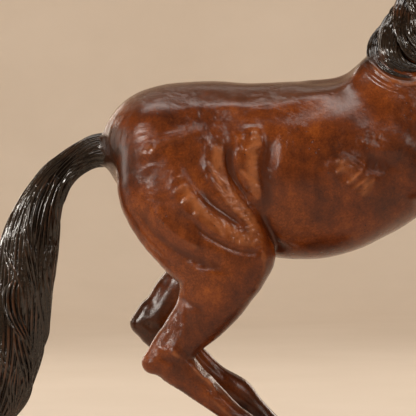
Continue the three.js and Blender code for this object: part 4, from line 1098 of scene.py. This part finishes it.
brown, dark, pale = brown_patina(), dark_patina(), floor_finish()
for piece in body_pieces:
    piece.data.materials.append(brown)
    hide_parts("horse")
for piece in (tail, mane_right, mane_left):
    piece.data.materials.append(dark)
    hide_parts("horse")
base.data.materials.append(dark)
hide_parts("base")
for piece in (*body_pieces, tail, mane_right, mane_left, base):
    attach(piece, "root")


# The set, in metres: a round pale floor that curves up into a wall far from the object
FLOOR_RADIUS = 3
CURVE = 1.5
WALL_HEIGHT = 6
FLOOR_SIDES = 120


def sweep_floor():
    turns = np.linspace(0.1, math.pi / 2, 24)
    profile = [(0.01, 0), (1, 0), (2, 0), (FLOOR_RADIUS, 0)]
    profile += [(FLOOR_RADIUS + CURVE * math.sin(a), CURVE - CURVE * math.cos(a)) for a in turns]
    profile += [(FLOOR_RADIUS + CURVE, WALL_HEIGHT)]
    turns = np.linspace(0, 2 * math.pi, FLOOR_SIDES, endpoint=False)
    points = np.array([(r * math.cos(a), r * math.sin(a), z) for r, z in profile for a in turns])
    return make_piece("floor", points, rings_of(len(profile) - 1, FLOOR_SIDES))


floor = sweep_floor()
floor.data.materials.append(pale)

# Soft light. The world is dim for the object, and as pale as the floor for the camera.
WORLD_FOR_OBJECT = 0.018
WORLD_FOR_CAMERA = 0.62
world = bpy.data.worlds.new("studio")
world.use_nodes = True
tree = world.node_tree
background = tree.nodes["Background"]
background.inputs["Color"].default_value = (0.90, 0.70, 0.52, 1)
path = tree.nodes.new("ShaderNodeLightPath")
strength = tree.nodes.new("ShaderNodeMapRange")
strength.inputs["To Min"].default_value = WORLD_FOR_OBJECT
strength.inputs["To Max"].default_value = WORLD_FOR_CAMERA
tree.links.new(path.outputs["Is Camera Ray"], strength.inputs["Value"])
tree.links.new(strength.outputs[0], background.inputs["Strength"])
bpy.context.scene.world = world


def area_light(name, place, target, size, power, colour):
    data = bpy.data.lights.new(name, "AREA")
    data.shape = "RECTANGLE"
    data.size, data.size_y = size
    data.energy = power
    data.color = colour
    light = bpy.data.objects.new(name, data)
    light.location = place
    light.rotation_euler = (Vector(target) - Vector(place)).to_track_quat("-Z", "Y").to_euler()
    light.visible_camera = False
    bpy.context.scene.collection.objects.link(light)


CENTRE = (-0.02, 0, 0.27)
# Name, place, target, size, power in watts and colour
LIGHTS = [
    ("overhead", (-0.15, -0.3, 1.8), CENTRE, (1.8, 0.35), 15, (1.0, 0.96, 0.92)),
    ("key", (-1.4, -1.3, 0.95), CENTRE, (0.3, 0.3), 18, (1.0, 0.95, 0.88)),
    ("side", (1.0, -1.6, 1.25), (0.08, 0, 0.28), (0.5, 0.4), 8, (1.0, 0.95, 0.88)),
    ("window", (-1.9, 0.0, 0.62), (-0.22, 0, 0.2), (0.5, 0.8), 6, (1.0, 0.94, 0.87)),
    ("rim_left", (-1.15, 1.5, 0.8), CENTRE, (0.4, 1.0), 7, (1.0, 0.94, 0.86)),
    ("rim_right", (1.2, 1.4, 0.85), CENTRE, (0.4, 1.0), 10, (1.0, 0.94, 0.86)),
    ("wall_wash", (-0.3, 1.9, 3.4), (0, 4.6, 0.8), (5.0, 1.5), 84, (1.0, 0.93, 0.85)),
    ("far_wash", (0.6, -2.3, 2.6), (0, -4.6, 0.4), (3.0, 0.8), 13, (1.0, 0.93, 0.85)),
]
for row in LIGHTS:
    area_light(*row)
bpy.context.scene.view_settings.view_transform = "Standard"

# The camera looks level along +Y, with PICTURE_UNITS across the picture at the middle plane
CAMERA_DISTANCE = 1.7
CAMERA_UNITS = (-88, 312)
PICTURE_UNITS = 416
SENSOR = 36
camera_data = bpy.data.cameras.new("camera")
camera_data.sensor_width = SENSOR
camera_data.lens = SENSOR * CAMERA_DISTANCE / (PICTURE_UNITS * U)
camera = bpy.data.objects.new("camera", camera_data)
camera.location = (CAMERA_UNITS[0] * U, -CAMERA_DISTANCE, CAMERA_UNITS[1] * U + LIFT)
camera.rotation_euler = (math.pi / 2, 0, 0)
bpy.context.scene.collection.objects.link(camera)
bpy.context.scene.camera = camera
